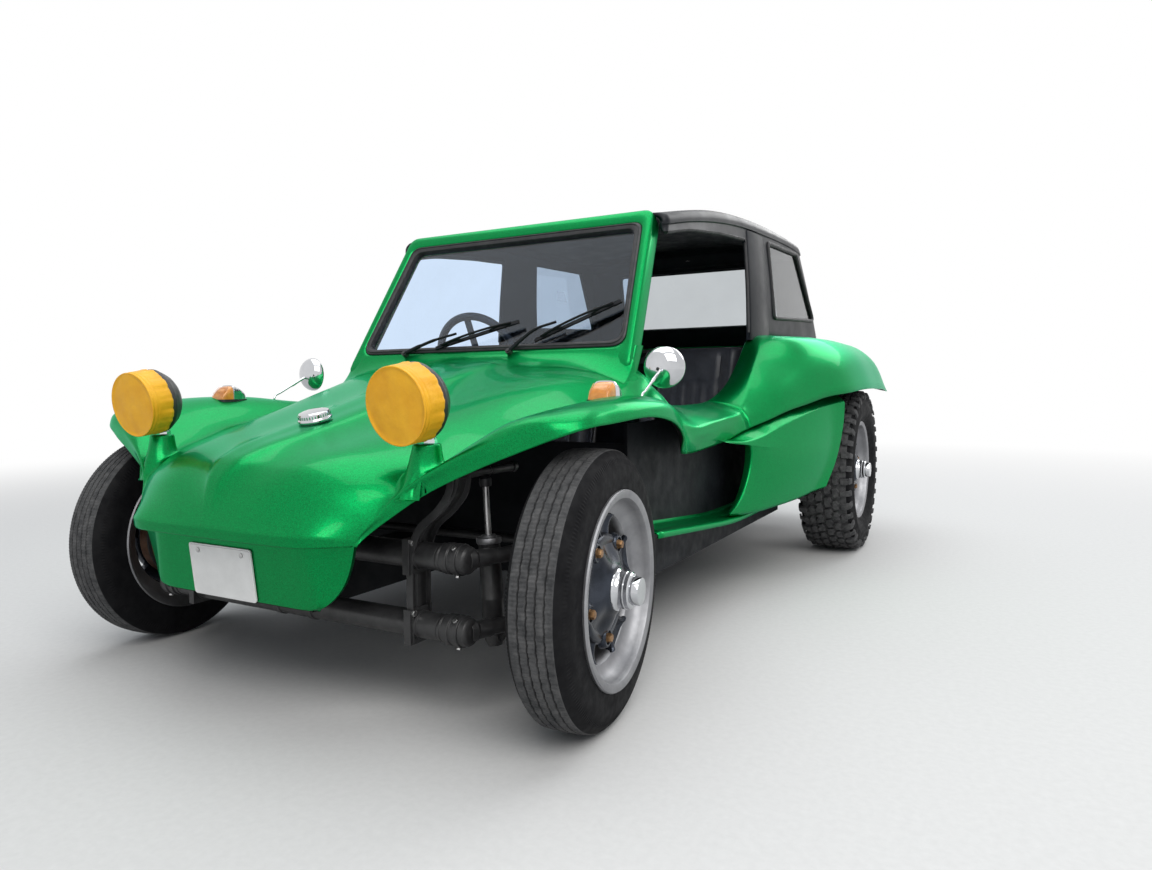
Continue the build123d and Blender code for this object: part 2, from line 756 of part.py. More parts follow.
def make_knuckle(side):
    pin = rod((side * kingpin_x, 0, 170), (side * kingpin_x, 0, 405), kingpin_radius)
    body = Pos(side * kingpin_x, 0, front_tyre_radius) * Cylinder(26, 90)
    spindle = rod((side * kingpin_x, 0, front_tyre_radius), (side * (front_drum_x - 0.3), 0, front_tyre_radius), 20)
    plate = rod((side * 640, 0, front_tyre_radius), (side * 645, 0, front_tyre_radius), drum_radius)
    arm = box(side * kingpin_x - 12, side * kingpin_x + 12, 0, steering_arm + 12, tie_rod_z - 28,
              tie_rod_z - tie_rod_radius - panel_clearance)
    return steered(pin + body + spindle + plate + arm, side)


def arm_tip():
    turn = math.radians(rest_steer)
    return Vector(-steering_arm * math.sin(turn), steering_arm * math.cos(turn), 0)


def make_tie_rods():
    tip = arm_tip()
    left = Vector(kingpin_x, 0, tie_rod_z) + tip
    right = Vector(-kingpin_x, 0, tie_rod_z) + tip
    return rod(right, left, tie_rod_radius)


def make_pitman():
    tip = arm_tip()
    arm_z = tie_rod_z + tie_rod_radius + panel_clearance + 10
    pivot = Vector(pitman_x, 0, arm_z)
    arm = rod(pivot, pivot + tip, 10)
    shaft = rod((pitman_x, 0, arm_z - 10), (pitman_x, 0, steering_box_z - panel_clearance), 14)
    return arm + shaft


def make_steering_box():
    clamp_y = beam_y + beam_tube_radius + panel_clearance
    housing = box(pitman_x - 40, pitman_x + 40, -90, 40, steering_box_z, steering_box_z + 65)
    return housing + box(pitman_x - 25, pitman_x + 25, clamp_y, -80, beam_upper_z - 12, steering_box_z + 30)


def tyre_profile(radius, width):
    """Half tyre section as x and radius, from the bead over the shoulder to the tread."""
    half = width / 2
    belly = (radius + bead_radius) / 2
    return half, belly


def make_tyre(radius, width, rim_width):
    half, belly = tyre_profile(radius, width)
    rim_half = rim_width / 2 - rim_flange_width - panel_clearance
    tread_half = half * 0.8
    outer = [
        (rim_half, bead_radius + 0.3),
        (rim_half, rim_flange_radius + 1),
        (half, belly),
        (half * 0.95, radius - 26),
        (tread_half, radius - 5),
        (0, radius),
    ]
    profile = Polyline(
        *outer, *[(-x, r) for x, r in outer[-2::-1]],
        (-rim_half + 10, bead_radius + 0.3), (-rim_half + 10, belly - 10), (-half + 14, belly),
        (-tread_half, radius - 20), (tread_half, radius - 20), (half - 14, belly),
        (rim_half - 10, belly - 10), (rim_half - 10, bead_radius + 0.3),
        close=True,
    )
    return revolve(make_face(profile), Axis.X)


def make_rim(width, cap_reach, drum_start):
    """A deep five-spoke wheel about the X axis, its outer face towards +X, with its drum."""
    half = width / 2
    barrel = Polyline(
        (half, rim_flange_radius), (half - 8, rim_flange_radius), (half - 8, bead_radius),
        (half - 34, bead_radius), (half - 48, 172), (-half + 40, 172), (-half + 26, bead_radius),
        (-half + 8, bead_radius), (-half + 8, rim_flange_radius), (-half, rim_flange_radius),
        (-half, bead_radius - rim_wall), (-half + 22, bead_radius - rim_wall),
        (-half + 36, 172 - rim_wall), (half - 52, 172 - rim_wall), (half - 38, bead_radius - rim_wall),
        (half, bead_radius - rim_wall), close=True,
    )
    rim = revolve(make_face(barrel), Axis.X)
    face_x = half - 62
    pad = Polyline((face_x, hub_bore_radius), (face_x, 96), (face_x - 10, hub_pad_radius),
                   (face_x - 26, hub_pad_radius), (face_x - 26, hub_bore_radius), close=True)
    rim = rim + revolve(make_face(pad), Axis.X)
    spoke = loft(
        [
            Plane(origin=(face_x - 14, 0, hub_pad_radius - 14), z_dir=(0, 0, 1)) * Rectangle(22, 54),
            Plane(origin=(face_x - 10, 0, 170), z_dir=(0, 0, 1)) * Rectangle(20, 84),
        ]
    )
    nut_seat = Plane(origin=(face_x - 20, 0, nut_circle_radius), z_dir=(1, 0, 0))
    boss = nut_seat * Cylinder(nut_boss_radius, 20 + nut_boss_height, align=(Align.CENTER, Align.CENTER, Align.MIN))
    for index in range(spoke_count):
        rim = rim + Rot(360 / spoke_count * index, 0, 0) * spoke
        rim = rim + Rot(360 / spoke_count * (index + 0.5), 0, 0) * boss
    cap = Polyline((face_x - 26, 0), (face_x - 26, 46), (face_x, 46), (face_x, cap_radius + 6),
                   (face_x + 30, cap_radius), (half + cap_reach - 6, cap_radius),
                   (half + cap_reach, cap_radius - 12), (half + cap_reach, 0), close=True)
    rim = rim + revolve(make_face(cap), Axis.X)
    drum = Polyline((face_x - 26, 0), (face_x - 26, drum_radius), (drum_start, drum_radius),
                    (drum_start, 0), close=True)
    return rim + revolve(make_face(drum), Axis.X)


def wheel_at(shape, x, y, radius, side):
    turned = shape if side > 0 else mirrored(shape)
    return Pos(side * x, y, radius) * turned


def make_transaxle():
    case = rod((0, wheelbase - 215, axle_z), (0, bell_front_y, axle_z), case_radius)
    bell = Plane(origin=(0, bell_front_y, axle_z), z_dir=(0, 1, 0)) * Cone(
        case_radius, bell_radius, engine_front_y - bell_front_y,
        align=(Align.CENTER, Align.CENTER, Align.MIN),
    )
    tube = rod((case_radius - 5, wheelbase, axle_z), (rear_drum_x - panel_clearance, wheelbase, axle_z), 32)
    return case + bell + tube + mirrored(tube)


def make_rear_suspension():
    """The torsion tube with its spring plates, the horns beside the gearbox and the shock towers."""
    y = torsion_tube_y
    plate = loft(
        [
            ring([(520, y + 14, 300), (526, y + 14, 300), (526, y + 14, 370), (520, y + 14, 370)]),
            ring([(560, wheelbase - 35, 310), (566, wheelbase - 35, 310), (566, wheelbase - 35, 360),
                  (560, wheelbase - 35, 360)]),
        ],
        ruled=True,
    )
    horn_x = case_radius + panel_clearance
    horn = box(horn_x, horn_x + 30, y, wheelbase - 42, 318, 358)
    tower = rod((440, y + 14, 350), (430, rear_shock_top_y, 560), 16)
    tower = tower + rod((430, rear_shock_top_y, 540), (470, rear_shock_top_y, 540), 10)
    cross = rod((-526, y, 335), (526, y, 335), 40)
    cross = cross + box(-60, 60, floor_back_y + panel_clearance, y - 26, 300, 345)
    for piece in (plate, mirrored(plate), horn, mirrored(horn), tower, mirrored(tower)):
        cross = cross + piece
    return cross


def make_rear_shock():
    foot_y = wheelbase + 32 + rear_shock_radius + 2 * panel_clearance
    return pair(rod((520, foot_y, axle_z), (495, rear_shock_top_y, 545), rear_shock_radius))


def make_engine():
    """The flat-four's crankcase, its four finned cylinders and the two heads."""
    engine = box(-110, 110, engine_front_y + panel_clearance, engine_back_y, axle_z - 88, shroud_foot_z)
    for side in (1, -1):
        for y in (engine_front_y + 95, engine_front_y + 245):
            engine = engine + rod((side * 100, y, cylinder_z), (side * 300, y, cylinder_z), 52)
            for index in range(fin_count):
                x = side * (136 + fin_pitch * index)
                engine = engine + Pos(x, y, cylinder_z) * Box(5, 124, 124)
        head = box(300, 390, engine_front_y + 15, engine_back_y - 40, cylinder_z - 60, cylinder_z + 60)
        cover = box(390, 412, engine_front_y + 30, engine_back_y - 55, cylinder_z - 45, cylinder_z + 45)
        head = head + fillet(cover.edges().filter_by(Axis.Y), 10)
        engine = engine + (head if side > 0 else mirrored(head))
    return engine


def make_fan_shroud():
    """The shroud over the cylinders, its fan housing, the generator on its stand and the pulleys."""
    foot = shroud_foot_z + panel_clearance
    outline = [
        Line((-330, foot), (330, foot)),
        Line((330, foot), (318, foot + 70)),
        Line((318, foot + 70), (168, 640)),
        ThreePointArc((168, 640), (0, 745), (-168, 640)),
        Line((-168, 640), (-318, foot + 70)),
        Line((-318, foot + 70), (-330, foot)),
    ]
    housing = Face(Wire([e for line in outline for e in line.edges()]))
    shroud = extrude(Plane.XZ.offset(-shroud_front_y) * housing, -130)
    back = shroud_front_y + 129
    stand = box(-30, 30, back, back + 95, foot, 560)
    generator = rod((0, back, generator_z), (0, back + 105, generator_z), 50)
    upper = rod((0, back + 100, generator_z), (0, back + 132, generator_z), 14)
    upper = upper + rod((0, back + 112, generator_z), (0, back + 132, generator_z), 62)
    return shroud + stand + generator + upper


def make_crank_pulley():
    y = engine_back_y + panel_clearance
    return rod((0, y, 340), (0, y + 14, 340), 22) + rod((0, y + 12, 340), (0, y + 30, 340), 85)


def make_exhaust():
    y = engine_back_y + 85
    muffler = rod((-330, y, 285), (330, y, 285), 48)
    tip = rod((120, y, 265), (120, y + 56, 240), 16)
    riser = rod((300, engine_back_y - 34.2, 330), (310, y - 8, 295), 20)
    return muffler + tip + mirrored(tip) + riser + mirrored(riser)


def make_rear_bumper():
    start_y, end_y = tail_y - 185, tail_y - bumper_radius
    line = [(-560, start_y, bumper_z), (-560, end_y, bumper_z), (560, end_y, bumper_z), (560, start_y, bumper_z)]
    bumper = hoop(line, bumper_radius, 90)
    face_y = body_end_y() + body_wall + panel_clearance
    for side in (1, -1):
        x = side * 400
        bumper = bumper + box(x - 15, x + 15, face_y, face_y + 8, 676, 720)
        bumper = bumper + rod((x, end_y, bumper_z + 4), (x, face_y + 16, 696), 9)
        bumper = bumper + box(x - 9, x + 9, face_y + 2, face_y + 16, 684, 708)
    return bumper


def make_rear_lamps():
    face_y = body_end_y() + body_wall + panel_clearance
    return pair(rod((690, face_y, 720), (690, face_y + 24, 720), 52))


def build():
    save("body_front", make_body_front())
    frame, rubber, glass = make_windscreen()
    front_block = box(-900, 900, -500, 600, 0, 2000)
    save("windscreen_frame", frame - make_bonnet() - front_block)
    save("windscreen_seal", rubber)
    save("windscreen_glass", glass)
    side = make_body_side()
    save("body_side_left", side)
    save("body_side_right", mirrored(side))
    save("body_rear", make_body_rear())
    pod = make_side_pod()
    save("side_pod_left", pod)
    save("side_pod_right", mirrored(pod))
    save("hardtop", make_hardtop())
    save("hardtop_glass", make_hardtop_glass())
    save("lower_sides", make_lower_sides())
    save("floor_pan", make_floor())
    save("rear_shelf", make_rear_shelf())
    save("dashboard", make_dashboard())
    save("steering_column", make_column())
    save("steering_wheel", make_steering_wheel())
    seat = make_seat()
    save("seat_left", seat)
    save("seat_right", mirrored(seat))
    gear, brake = make_levers()
    save("floor_levers", Compound([gear, brake]))
    bowl, cover = make_lamp()
    save("headlamps", pair(bowl))
    save("lamp_covers", pair(cover))
    wing = make_wing()
    save("mirrors", pair(make_mirror(wing)))
    save("fuel_cap", make_fuel_cap())
    save("indicators", pair(make_indicator(wing)))
    save("number_plate", make_number_plate())
    wipers = [make_wiper(-292, 30, 105), make_wiper(117, 420, 125)]
    save("wipers", Compound(wipers))
    save("front_beam", make_beam())
    save("trailing_arms", make_trailing_arms())
    save("front_shocks", pair(make_front_shock()))
    save("steering_box", make_steering_box())
    save("pitman_arm", make_pitman())
    save("tie_rods", make_tie_rods())
    front_tyre = make_tyre(front_tyre_radius, front_tyre_width, front_rim_width)
    front_rim = make_rim(front_rim_width, front_cap_reach, front_drum_x - front_wheel_x)
    rear_tyre = make_tyre(rear_tyre_radius, rear_tyre_width, rear_rim_width)
    rear_rim = make_rim(rear_rim_width, rear_cap_reach, rear_drum_x - rear_wheel_x)
    for name, side_sign in (("left", 1), ("right", -1)):
        save(f"knuckle_{name}", make_knuckle(side_sign))
        tyre = wheel_at(front_tyre, front_wheel_x, 0, front_tyre_radius, side_sign)
        rim = wheel_at(front_rim, front_wheel_x, 0, front_tyre_radius, side_sign)
        save(f"tyre_front_{name}", steered(tyre, side_sign))
        save(f"rim_front_{name}", steered(rim, side_sign))
        save(f"tyre_rear_{name}", wheel_at(rear_tyre, rear_wheel_x, wheelbase, rear_tyre_radius, side_sign))
        save(f"rim_rear_{name}", wheel_at(rear_rim, rear_wheel_x, wheelbase, rear_tyre_radius, side_sign))
    save("transaxle", make_transaxle())
    save("rear_suspension", make_rear_suspension())
    save("rear_shocks", make_rear_shock())
    save("engine", make_engine())
    save("fan_shroud", make_fan_shroud())
    save("crank_pulley", make_crank_pulley())
    save("exhaust", make_exhaust())
    save("rear_bumper", make_rear_bumper())
    save("rear_lamps", make_rear_lamps())


build()
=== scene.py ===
import bmesh
import bpy
import random
from math import copysign, cos, exp, pi, radians, sin, sqrt, tan, tau
from mathutils import Matrix, Vector


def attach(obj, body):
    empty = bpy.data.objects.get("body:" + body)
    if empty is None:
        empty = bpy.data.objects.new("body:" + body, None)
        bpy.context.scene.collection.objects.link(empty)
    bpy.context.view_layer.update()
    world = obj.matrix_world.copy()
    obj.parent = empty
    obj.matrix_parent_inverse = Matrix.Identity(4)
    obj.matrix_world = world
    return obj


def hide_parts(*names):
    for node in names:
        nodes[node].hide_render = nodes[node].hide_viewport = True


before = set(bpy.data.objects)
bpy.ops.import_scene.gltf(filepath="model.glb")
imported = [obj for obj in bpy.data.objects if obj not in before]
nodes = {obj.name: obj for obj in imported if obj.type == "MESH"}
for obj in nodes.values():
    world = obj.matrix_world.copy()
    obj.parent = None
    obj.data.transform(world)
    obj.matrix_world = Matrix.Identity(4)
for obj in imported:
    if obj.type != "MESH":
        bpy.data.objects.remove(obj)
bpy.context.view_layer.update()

# Metres. Rows below are written with y = 0 at the front axle; the frame's origin lies further back.
SHIFT = -1.1965
WHEELBASE = 2.095
SIDES = ((1, "left"), (-1, "right"))
MOULDING_WALL = .006
PANEL_WALL = .004
# A turned profile ends this close to its axis
AXIS = .0004


# Materials

def preset(node, **values):
    """Sets the constants of a node's sockets, named with _ for a space."""
    for socket, value in values.items():
        node.inputs[socket.replace("_", " ")].default_value = value
    return node


def node_material(name, **values):
    mat = bpy.data.materials.new(name)
    mat.use_nodes = True
    tree = mat.node_tree
    return mat, tree, preset(tree.nodes["Principled BSDF"], **values)


def texture(tree, kind, **values):
    """A texture node that follows the object's own coordinates."""
    node = preset(tree.nodes.new(kind), **values)
    coord = tree.nodes.new("ShaderNodeTexCoord")
    tree.links.new(coord.outputs["Object"], node.inputs["Vector"])
    return node


def noise(tree, scale, detail=4.0, rough=.6):
    return texture(tree, "ShaderNodeTexNoise", Scale=scale, Detail=detail, Roughness=rough).outputs["Fac"]


def ramp(tree, source, low, high, target):
    """Feeds a socket with a value turned into colours; low and high are (position, colour)."""
    node = tree.nodes.new("ShaderNodeValToRGB")
    for element, (place, color) in zip(node.color_ramp.elements, (low, high)):
        element.position = place
        element.color = (*color, 1)
    tree.links.new(source, node.inputs["Fac"])
    tree.links.new(node.outputs["Color"], target)


def gray(value):
    return (value, value, value)


def bump(tree, bsdf, height, strength, distance, under=None):
    node = preset(tree.nodes.new("ShaderNodeBump"), Strength=strength, Distance=distance)
    tree.links.new(height, node.inputs["Height"])
    if under is not None:
        tree.links.new(under.outputs["Normal"], node.inputs["Normal"])
    tree.links.new(node.outputs["Normal"], bsdf.inputs["Normal"])
    return node


def surface(name, dark, light, scale, rough, metallic=0.0, coat=0.0, grain=None, detail=5.0, spec=.5):
    """A material whose colour wanders between two tones, with uneven gloss and a fine grain."""
    mat, tree, bsdf = node_material(
        name, Metallic=metallic, Coat_Weight=coat, Coat_Roughness=.04, Specular_IOR_Level=spec)
    ramp(tree, noise(tree, scale, detail, .62), (.36, dark), (.66, light), bsdf.inputs["Base Color"])
    low, high = rough
    ramp(tree, noise(tree, scale * 2.7, 5.0), (.32, gray(low)), (.7, gray(high)), bsdf.inputs["Roughness"])
    if grain:
        size, strength, depth = grain
        bump(tree, bsdf, noise(tree, size, 3.0, .5), strength, depth)
    return mat


def metallic_paint(name, dark, light):
    """Clear coat over colour with fine flake and a slight waviness of the moulding."""
    mat, tree, bsdf = node_material(
        name, Metallic=.84, Roughness=.32, Specular_IOR_Level=.3, Specular_Tint=(.15, 1.0, .7, 1),
        Coat_Weight=.16, Coat_Roughness=.045)
    mix = tree.nodes.new("ShaderNodeMix")
    mix.data_type = "RGBA"
    mix.blend_type = "MULTIPLY"
    mix.inputs["Factor"].default_value = .55
    flake = texture(tree, "ShaderNodeTexVoronoi", Scale=900.0)
    ramp(tree, flake.outputs["Color"], (0.0, dark), (1.0, light), mix.inputs["A"])
    ramp(tree, noise(tree, 1.7, 3.0), (.3, gray(.82)), (.7, gray(1.0)), mix.inputs["B"])
    tree.links.new(mix.outputs["Result"], bsdf.inputs["Base Color"])
    wave = bump(tree, bsdf, noise(tree, 9.0, 2.0), .1, .004)
    tree.links.new(wave.outputs["Normal"], bsdf.inputs["Coat Normal"])
    return mat


def glass(name, tint):
    mat, tree, bsdf = node_material(name, Transmission_Weight=1.0, Roughness=0.0, IOR=1.45)
    paler = [min(1, c * 1.06) for c in tint]
    ramp(tree, noise(tree, 6.0), (.3, tint), (.8, paler), bsdf.inputs["Base Color"])
    return mat


def vinyl(name, dark, light, weave):
    """Coated cloth with a fine weave and soft creases."""
    mat, tree, bsdf = node_material(name, Roughness=.48, Specular_IOR_Level=.4)
    ramp(tree, noise(tree, 14.0, 6.0), (.35, dark), (.7, light), bsdf.inputs["Base Color"])
    crease = bump(tree, bsdf, noise(tree, 22.0, 3.0), .35, .006)
    cells = texture(tree, "ShaderNodeTexVoronoi", Scale=weave)
    bump(tree, bsdf, cells.outputs["Distance"], .3, .0006, crease)
    return mat


M = {
    "paint": metallic_paint("green_paint", (0.0, .135, .032), (0.0, .33, .074)),
    # The mouldings' near-black underside; inside the side pods it also serves as painted shade deep in their
    # openings
    "under": surface("moulding_underside", (.006, .007, .007), (.014, .015, .015), 12, (.75, .95),
                     grain=(160, .5, .002)),
    "hardtop": surface("hardtop_gloss", (.003, .0042, .007), (.007, .009, .013), 3, (.36, .5),
                       coat=.06, grain=(10, .05, .003), spec=.18),
    "tyre": surface("tyre_side", (.004, .004, .005), (.01, .01, .011), 18, (.6, .85), spec=.12,
                    grain=(240, .25, .0008)),
    "tread": surface("tyre_tread", (.03, .031, .033), (.09, .089, .09), 46, (.8, .97), detail=9.0,
                     grain=(420, .6, .001)),
    "alloy": surface("turned_alloy", (.23, .232, .245), (.34, .342, .355), 9, (.44, .58), metallic=1.0,
                     grain=(260, .1, .0006)),
    "spoke": surface("dark_spoke", (.014, .017, .024), (.04, .047, .062), 14, (.14, .28), metallic=.75,
                     grain=(220, .15, .0006)),
    "chrome": surface("chrome_plate", (.5, .51, .53), (.64, .65, .67), 7, (.04, .1), metallic=1.0),
    "chassis": surface("chassis_paint", (.012, .012, .013), (.03, .03, .031), 16, (.32, .6),
                       coat=.1, grain=(70, .3, .0012)),
    "liner": surface("black_liner", (.004, .005, .007), (.009, .011, .014), 8, (.5, .72),
                     grain=(130, .3, .001), spec=.2),
    "seat": vinyl("seat_vinyl", (.014, .015, .02), (.026, .028, .036), 900.0),
    "cover": vinyl("cover_vinyl", (.8, .36, .008), (.95, .5, .02), 1400.0),
    "rubber": surface("seal_rubber", (.01, .01, .012), (.022, .022, .025), 20, (.45, .7),
                      grain=(180, .25, .0006)),
    "amber": surface("amber_lens", (.62, .2, .02), (.85, .34, .05), 40, (.12, .25), coat=.6,
                     grain=(160, .4, .0012)),
    "red": surface("red_lens", (.36, .006, .006), (.6, .015, .01), 40, (.12, .25), coat=.6,
                   grain=(160, .4, .0012)),
    "plate": surface("plate_white", (.72, .72, .71), (.82, .82, .81), 12, (.3, .45), grain=(60, .05, .001)),
    "cast": surface("cast_alloy", (.2, .2, .2), (.36, .355, .35), 22, (.42, .65), metallic=.85,
                    grain=(190, .5, .0012)),
    "bronze": surface("bronze_nut", (.2, .11, .05), (.4, .24, .12), 60, (.35, .55), metallic=.9),
    "rust": surface("rusty_drum", (.065, .032, .018), (.18, .085, .045), 24, (.75, .95), metallic=.1,
                    grain=(150, .6, .0016)),
    "steel": surface("plain_steel", (.34, .34, .34), (.52, .52, .52), 24, (.25, .42), metallic=1.0),
    "screen": glass("screen_glass", (.6, .74, .93)),
    "tint": glass("hardtop_pane", (.55, .58, .6)),
    "mirror": surface("mirror_face", (.66, .67, .69), (.72, .73, .75), 5, (.01, .03), metallic=1.0),
}


# Mesh helpers

def vec(*parts):
    return Vector(parts)


def moved(*by):
    return Matrix.Translation(by)


def spun(axis, degrees):
    return Matrix.Rotation(radians(degrees), 4, axis)


def facing(sign):
    """Turned half round for the right side."""
    return Matrix.Identity(4) if sign > 0 else Matrix.Rotation(pi, 4, "Z")


def mirrored(row):
    return [vec(-p.x, p.y, p.z) for p in row]


def sided(sign, rows):
    """Rows given for the left side, on the side asked for."""
    return [(sign * x, *rest) for x, *rest in rows]


def shifted(base, profile):
    """A profile whose distances along the axis are counted from a base."""
    return [(base + a, r) for a, r in profile]


def turns(count):
    return [tau * k / count for k in range(count)]


def around(place, a, radius, turn):
    """A point by its distance along the X axis of a placing matrix, its radius and its turn."""
    return place @ vec(a, radius * cos(turn), radius * sin(turn))


def band(count, base=0):
    """The faces between two closed outlines of as many points."""
    return [(base + k, base + (k + 1) % count, base + count + (k + 1) % count, base + count + k)
        for k in range(count)]


def put(name, data):
    obj = bpy.data.objects.new(name, data)
    bpy.context.scene.collection.objects.link(obj)
    return obj


def raw_mesh(name, verts, faces):
    mesh = bpy.data.meshes.new(name)
    mesh.from_pydata([(x, y + SHIFT, z) for x, y, z in verts], [], faces)
    return mesh


# The six faces of a box whose corners run by x, then y, then z
BOX = [(0, 2, 3, 1), (4, 5, 7, 6), (0, 1, 5, 4), (2, 6, 7, 3), (0, 4, 6, 2), (1, 3, 7, 5)]


class Shape:
    """Collects vertices and faces, each face with its material."""

    def __init__(self, *mats):
        self.mats = list(mats)
        self.verts = []
        self.faces = []
        self.face_mats = []

    def add(self, verts, faces, mat=0):
        base = len(self.verts)
        self.verts += [tuple(v) for v in verts]
        self.faces += [tuple(base + i for i in face) for face in faces]
        self.face_mats += [mat] * len(faces)
        return base

    def grid(self, rows, mat=0, close_u=False, close_v=False, flip=False):
        count = len(rows[0])
        verts = [p for row in rows for p in row]
        faces = []
        row_total = len(rows)
        for i in range(row_total if close_v else row_total - 1):
            for j in range(count if close_u else count - 1):
                a = i * count + j
                b = i * count + (j + 1) % count
                c = ((i + 1) % row_total) * count + (j + 1) % count
                d = ((i + 1) % row_total) * count + j
                faces.append((d, c, b, a) if flip else (a, b, c, d))
        return self.add(verts, faces, mat)

    def lathe(self, profile, place, steps=48, mat=0, close=False):
        """Turns (distance along the axis, radius) about the X axis of a placing matrix."""
        rows = [[around(place, a, r, turn) for a, r in profile] for turn in turns(steps)]
        self.grid(rows, mat, close_u=close, close_v=True)

    def tube(self, path, radius, sides=12, mat=0, closed=False):
        points = [Vector(p) for p in path]
        radii = radius if isinstance(radius, (list, tuple)) else [radius] * len(points)
        rows = []
        normal = None
        for i, p in enumerate(points):
            before = points[i - 1] if i or closed else p
            after = points[(i + 1) % len(points)] if i < len(points) - 1 or closed else p
            along = (after - before).normalized()
            if normal is None:
                normal = along.orthogonal().normalized()
            normal = (normal - along * normal.dot(along)).normalized()
            side = along.cross(normal)
            rows.append([p + (normal * cos(t) + side * sin(t)) * radii[i] for t in turns(sides)])
        base = self.grid(rows, mat, close_u=True, close_v=closed)
        if not closed:
            last = base + (len(rows) - 1) * sides
            self.faces += [tuple(base + k for k in range(sides))[::-1], tuple(last + k for k in range(sides))]
            self.face_mats += [mat, mat]

    def block(self, x0, x1, y0, y1, z0, z1, mat=0, place=None):
        corners = [(x, y, z) for z in (z0, z1) for y in (y0, y1) for x in (x0, x1)]
        if place is not None:
            corners = [place @ Vector(c) for c in corners]
        self.add(corners, BOX, mat)

    def prism(self, outline, place, depth, mat=0):
        """Pushes a flat outline of (x, y) by a depth along z of a placing matrix."""
        count = len(outline)
        verts = [place @ vec(x, y, 0) for x, y in outline] + [place @ vec(x, y, depth) for x, y in outline]
        self.add(verts, [tuple(range(count))[::-1], tuple(range(count, 2 * count))] + band(count), mat)

    def slab(self, first, second):
        """Closes the space between two outlines of as many points."""
        count = len(first)
        self.add(first + second, [tuple(range(count)), tuple(range(count, 2 * count))[::-1]] + band(count))

    def build(self, name, body="chassis", slot=None, replaces=(), sharp=35, bevel=0.0, wall=0.0,
              weld=.00002):
        """Makes the piece: welded, smooth up to an angle, with a bevel or a wall, on its body."""
        mesh = raw_mesh(name, self.verts, self.faces)
        for mat in self.mats:
            mesh.materials.append(M[mat])
        mesh.polygons.foreach_set("material_index", self.face_mats)
        mesh.update()
        bm = bmesh.new()
        bm.from_mesh(mesh)
        bmesh.ops.remove_doubles(bm, verts=bm.verts, dist=weld)
        bmesh.ops.dissolve_degenerate(bm, edges=bm.edges, dist=weld)
        if not wall:
            bmesh.ops.recalc_face_normals(bm, faces=bm.faces)
        limit = radians(sharp)
        for face in bm.faces:
            face.smooth = True
        for edge in bm.edges:
            edge.smooth = not (len(edge.link_faces) == 2 and edge.calc_face_angle(0) > limit)
        bm.to_mesh(mesh)
        bm.free()
        obj = put(name, mesh)
        if wall:
            solid = obj.modifiers.new("wall", "SOLIDIFY")
            solid.thickness = wall
            solid.offset = -1
            if len(self.mats) > 1:
                solid.material_offset = 1
        if bevel:
            edge = obj.modifiers.new("edge", "BEVEL")
            edge.width = bevel
            edge.segments = 2
            edge.limit_method = "ANGLE"
            edge.angle_limit = radians(30)
            edge.harden_normals = True
        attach(obj, body)
        if replaces:
            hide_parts(*replaces)
        return obj


def hermite(p0, p1, t0, t1, s):
    s2, s3 = s * s, s * s * s
    return p0 * (2 * s3 - 3 * s2 + 1) + t0 * (s3 - 2 * s2 + s) + p1 * (3 * s2 - 2 * s3) + t1 * (s3 - s2)


def curve(points, per, corners=()):
    """Points along a smooth curve through the given ones, straight-ended at the corners."""
    points = [Vector(p) for p in points]
    if per == 1:
        return points
    count = len(points)
    lengths = [max((b - a).length, 1e-6) for a, b in zip(points, points[1:])]
    result = [points[0]]
    for i in range(count - 1):
        p0, p1, d = points[i], points[i + 1], lengths[i]

        def tangent(k):
            if k == 0 or k == count - 1 or k in corners:
                return (p1 - p0) / d
            a, b = lengths[k - 1], lengths[k]
            ta, tb = (points[k] - points[k - 1]) / a, (points[k + 1] - points[k]) / b
            return (ta * b + tb * a) / (a + b)

        t0, t1 = tangent(i) * d, tangent(i + 1) * d
        for k in range(1, per + 1):
            result.append(hermite(p0, p1, t0, t1, k / per))
    return result


def skin(rows, along, across, corners=(), row_corners=()):
    """A fine grid through rows of points: smooth along the rows' order and across each row."""
    columns = [curve([row[j] for row in rows], along, row_corners) for j in range(len(rows[0]))]
    return [curve([column[i] for column in columns], across, corners) for i in range(len(columns[0]))]


def slanted(row):
    """A row's points from its inner and outer y and its list of x and z."""
    y_in, y_out, *pairs = row
    xs, zs = pairs[0::2], pairs[1::2]
    span = (xs[-1] - xs[0]) or 1.0
    return [vec(x, y_in + (y_out - y_in) * (x - xs[0]) / span, z) for x, z in zip(xs, zs)]


def rounded(corners, radius, steps):
    """A closed outline of (x, y) with its corners rounded."""
    result = []
    count = len(corners)
    for i, (x, y) in enumerate(corners):
        here = vec(x, y)
        before = Vector(corners[i - 1])
        after = Vector(corners[(i + 1) % count])
        r = radius[i] if isinstance(radius, (list, tuple)) else radius
        a, b = (before - here).normalized(), (after - here).normalized()
        half = a.angle(b) / 2
        reach = min(r / tan(half), (before - here).length * .49, (after - here).length * .49)
        start, end = here + a * reach, here + b * reach
        for k in range(steps + 1):
            s = k / steps
            result.append(tuple(start * (1 - s) ** 2 + here * 2 * s * (1 - s) + end * s * s))
    return result


# Front body: nose, bonnet and wings in one moulding, and the flanks behind them

def flat(y, *pairs):
    """A row at one y from its list of x and z."""
    return [(x, y, z) for x, z in zip(pairs[0::2], pairs[1::2])]


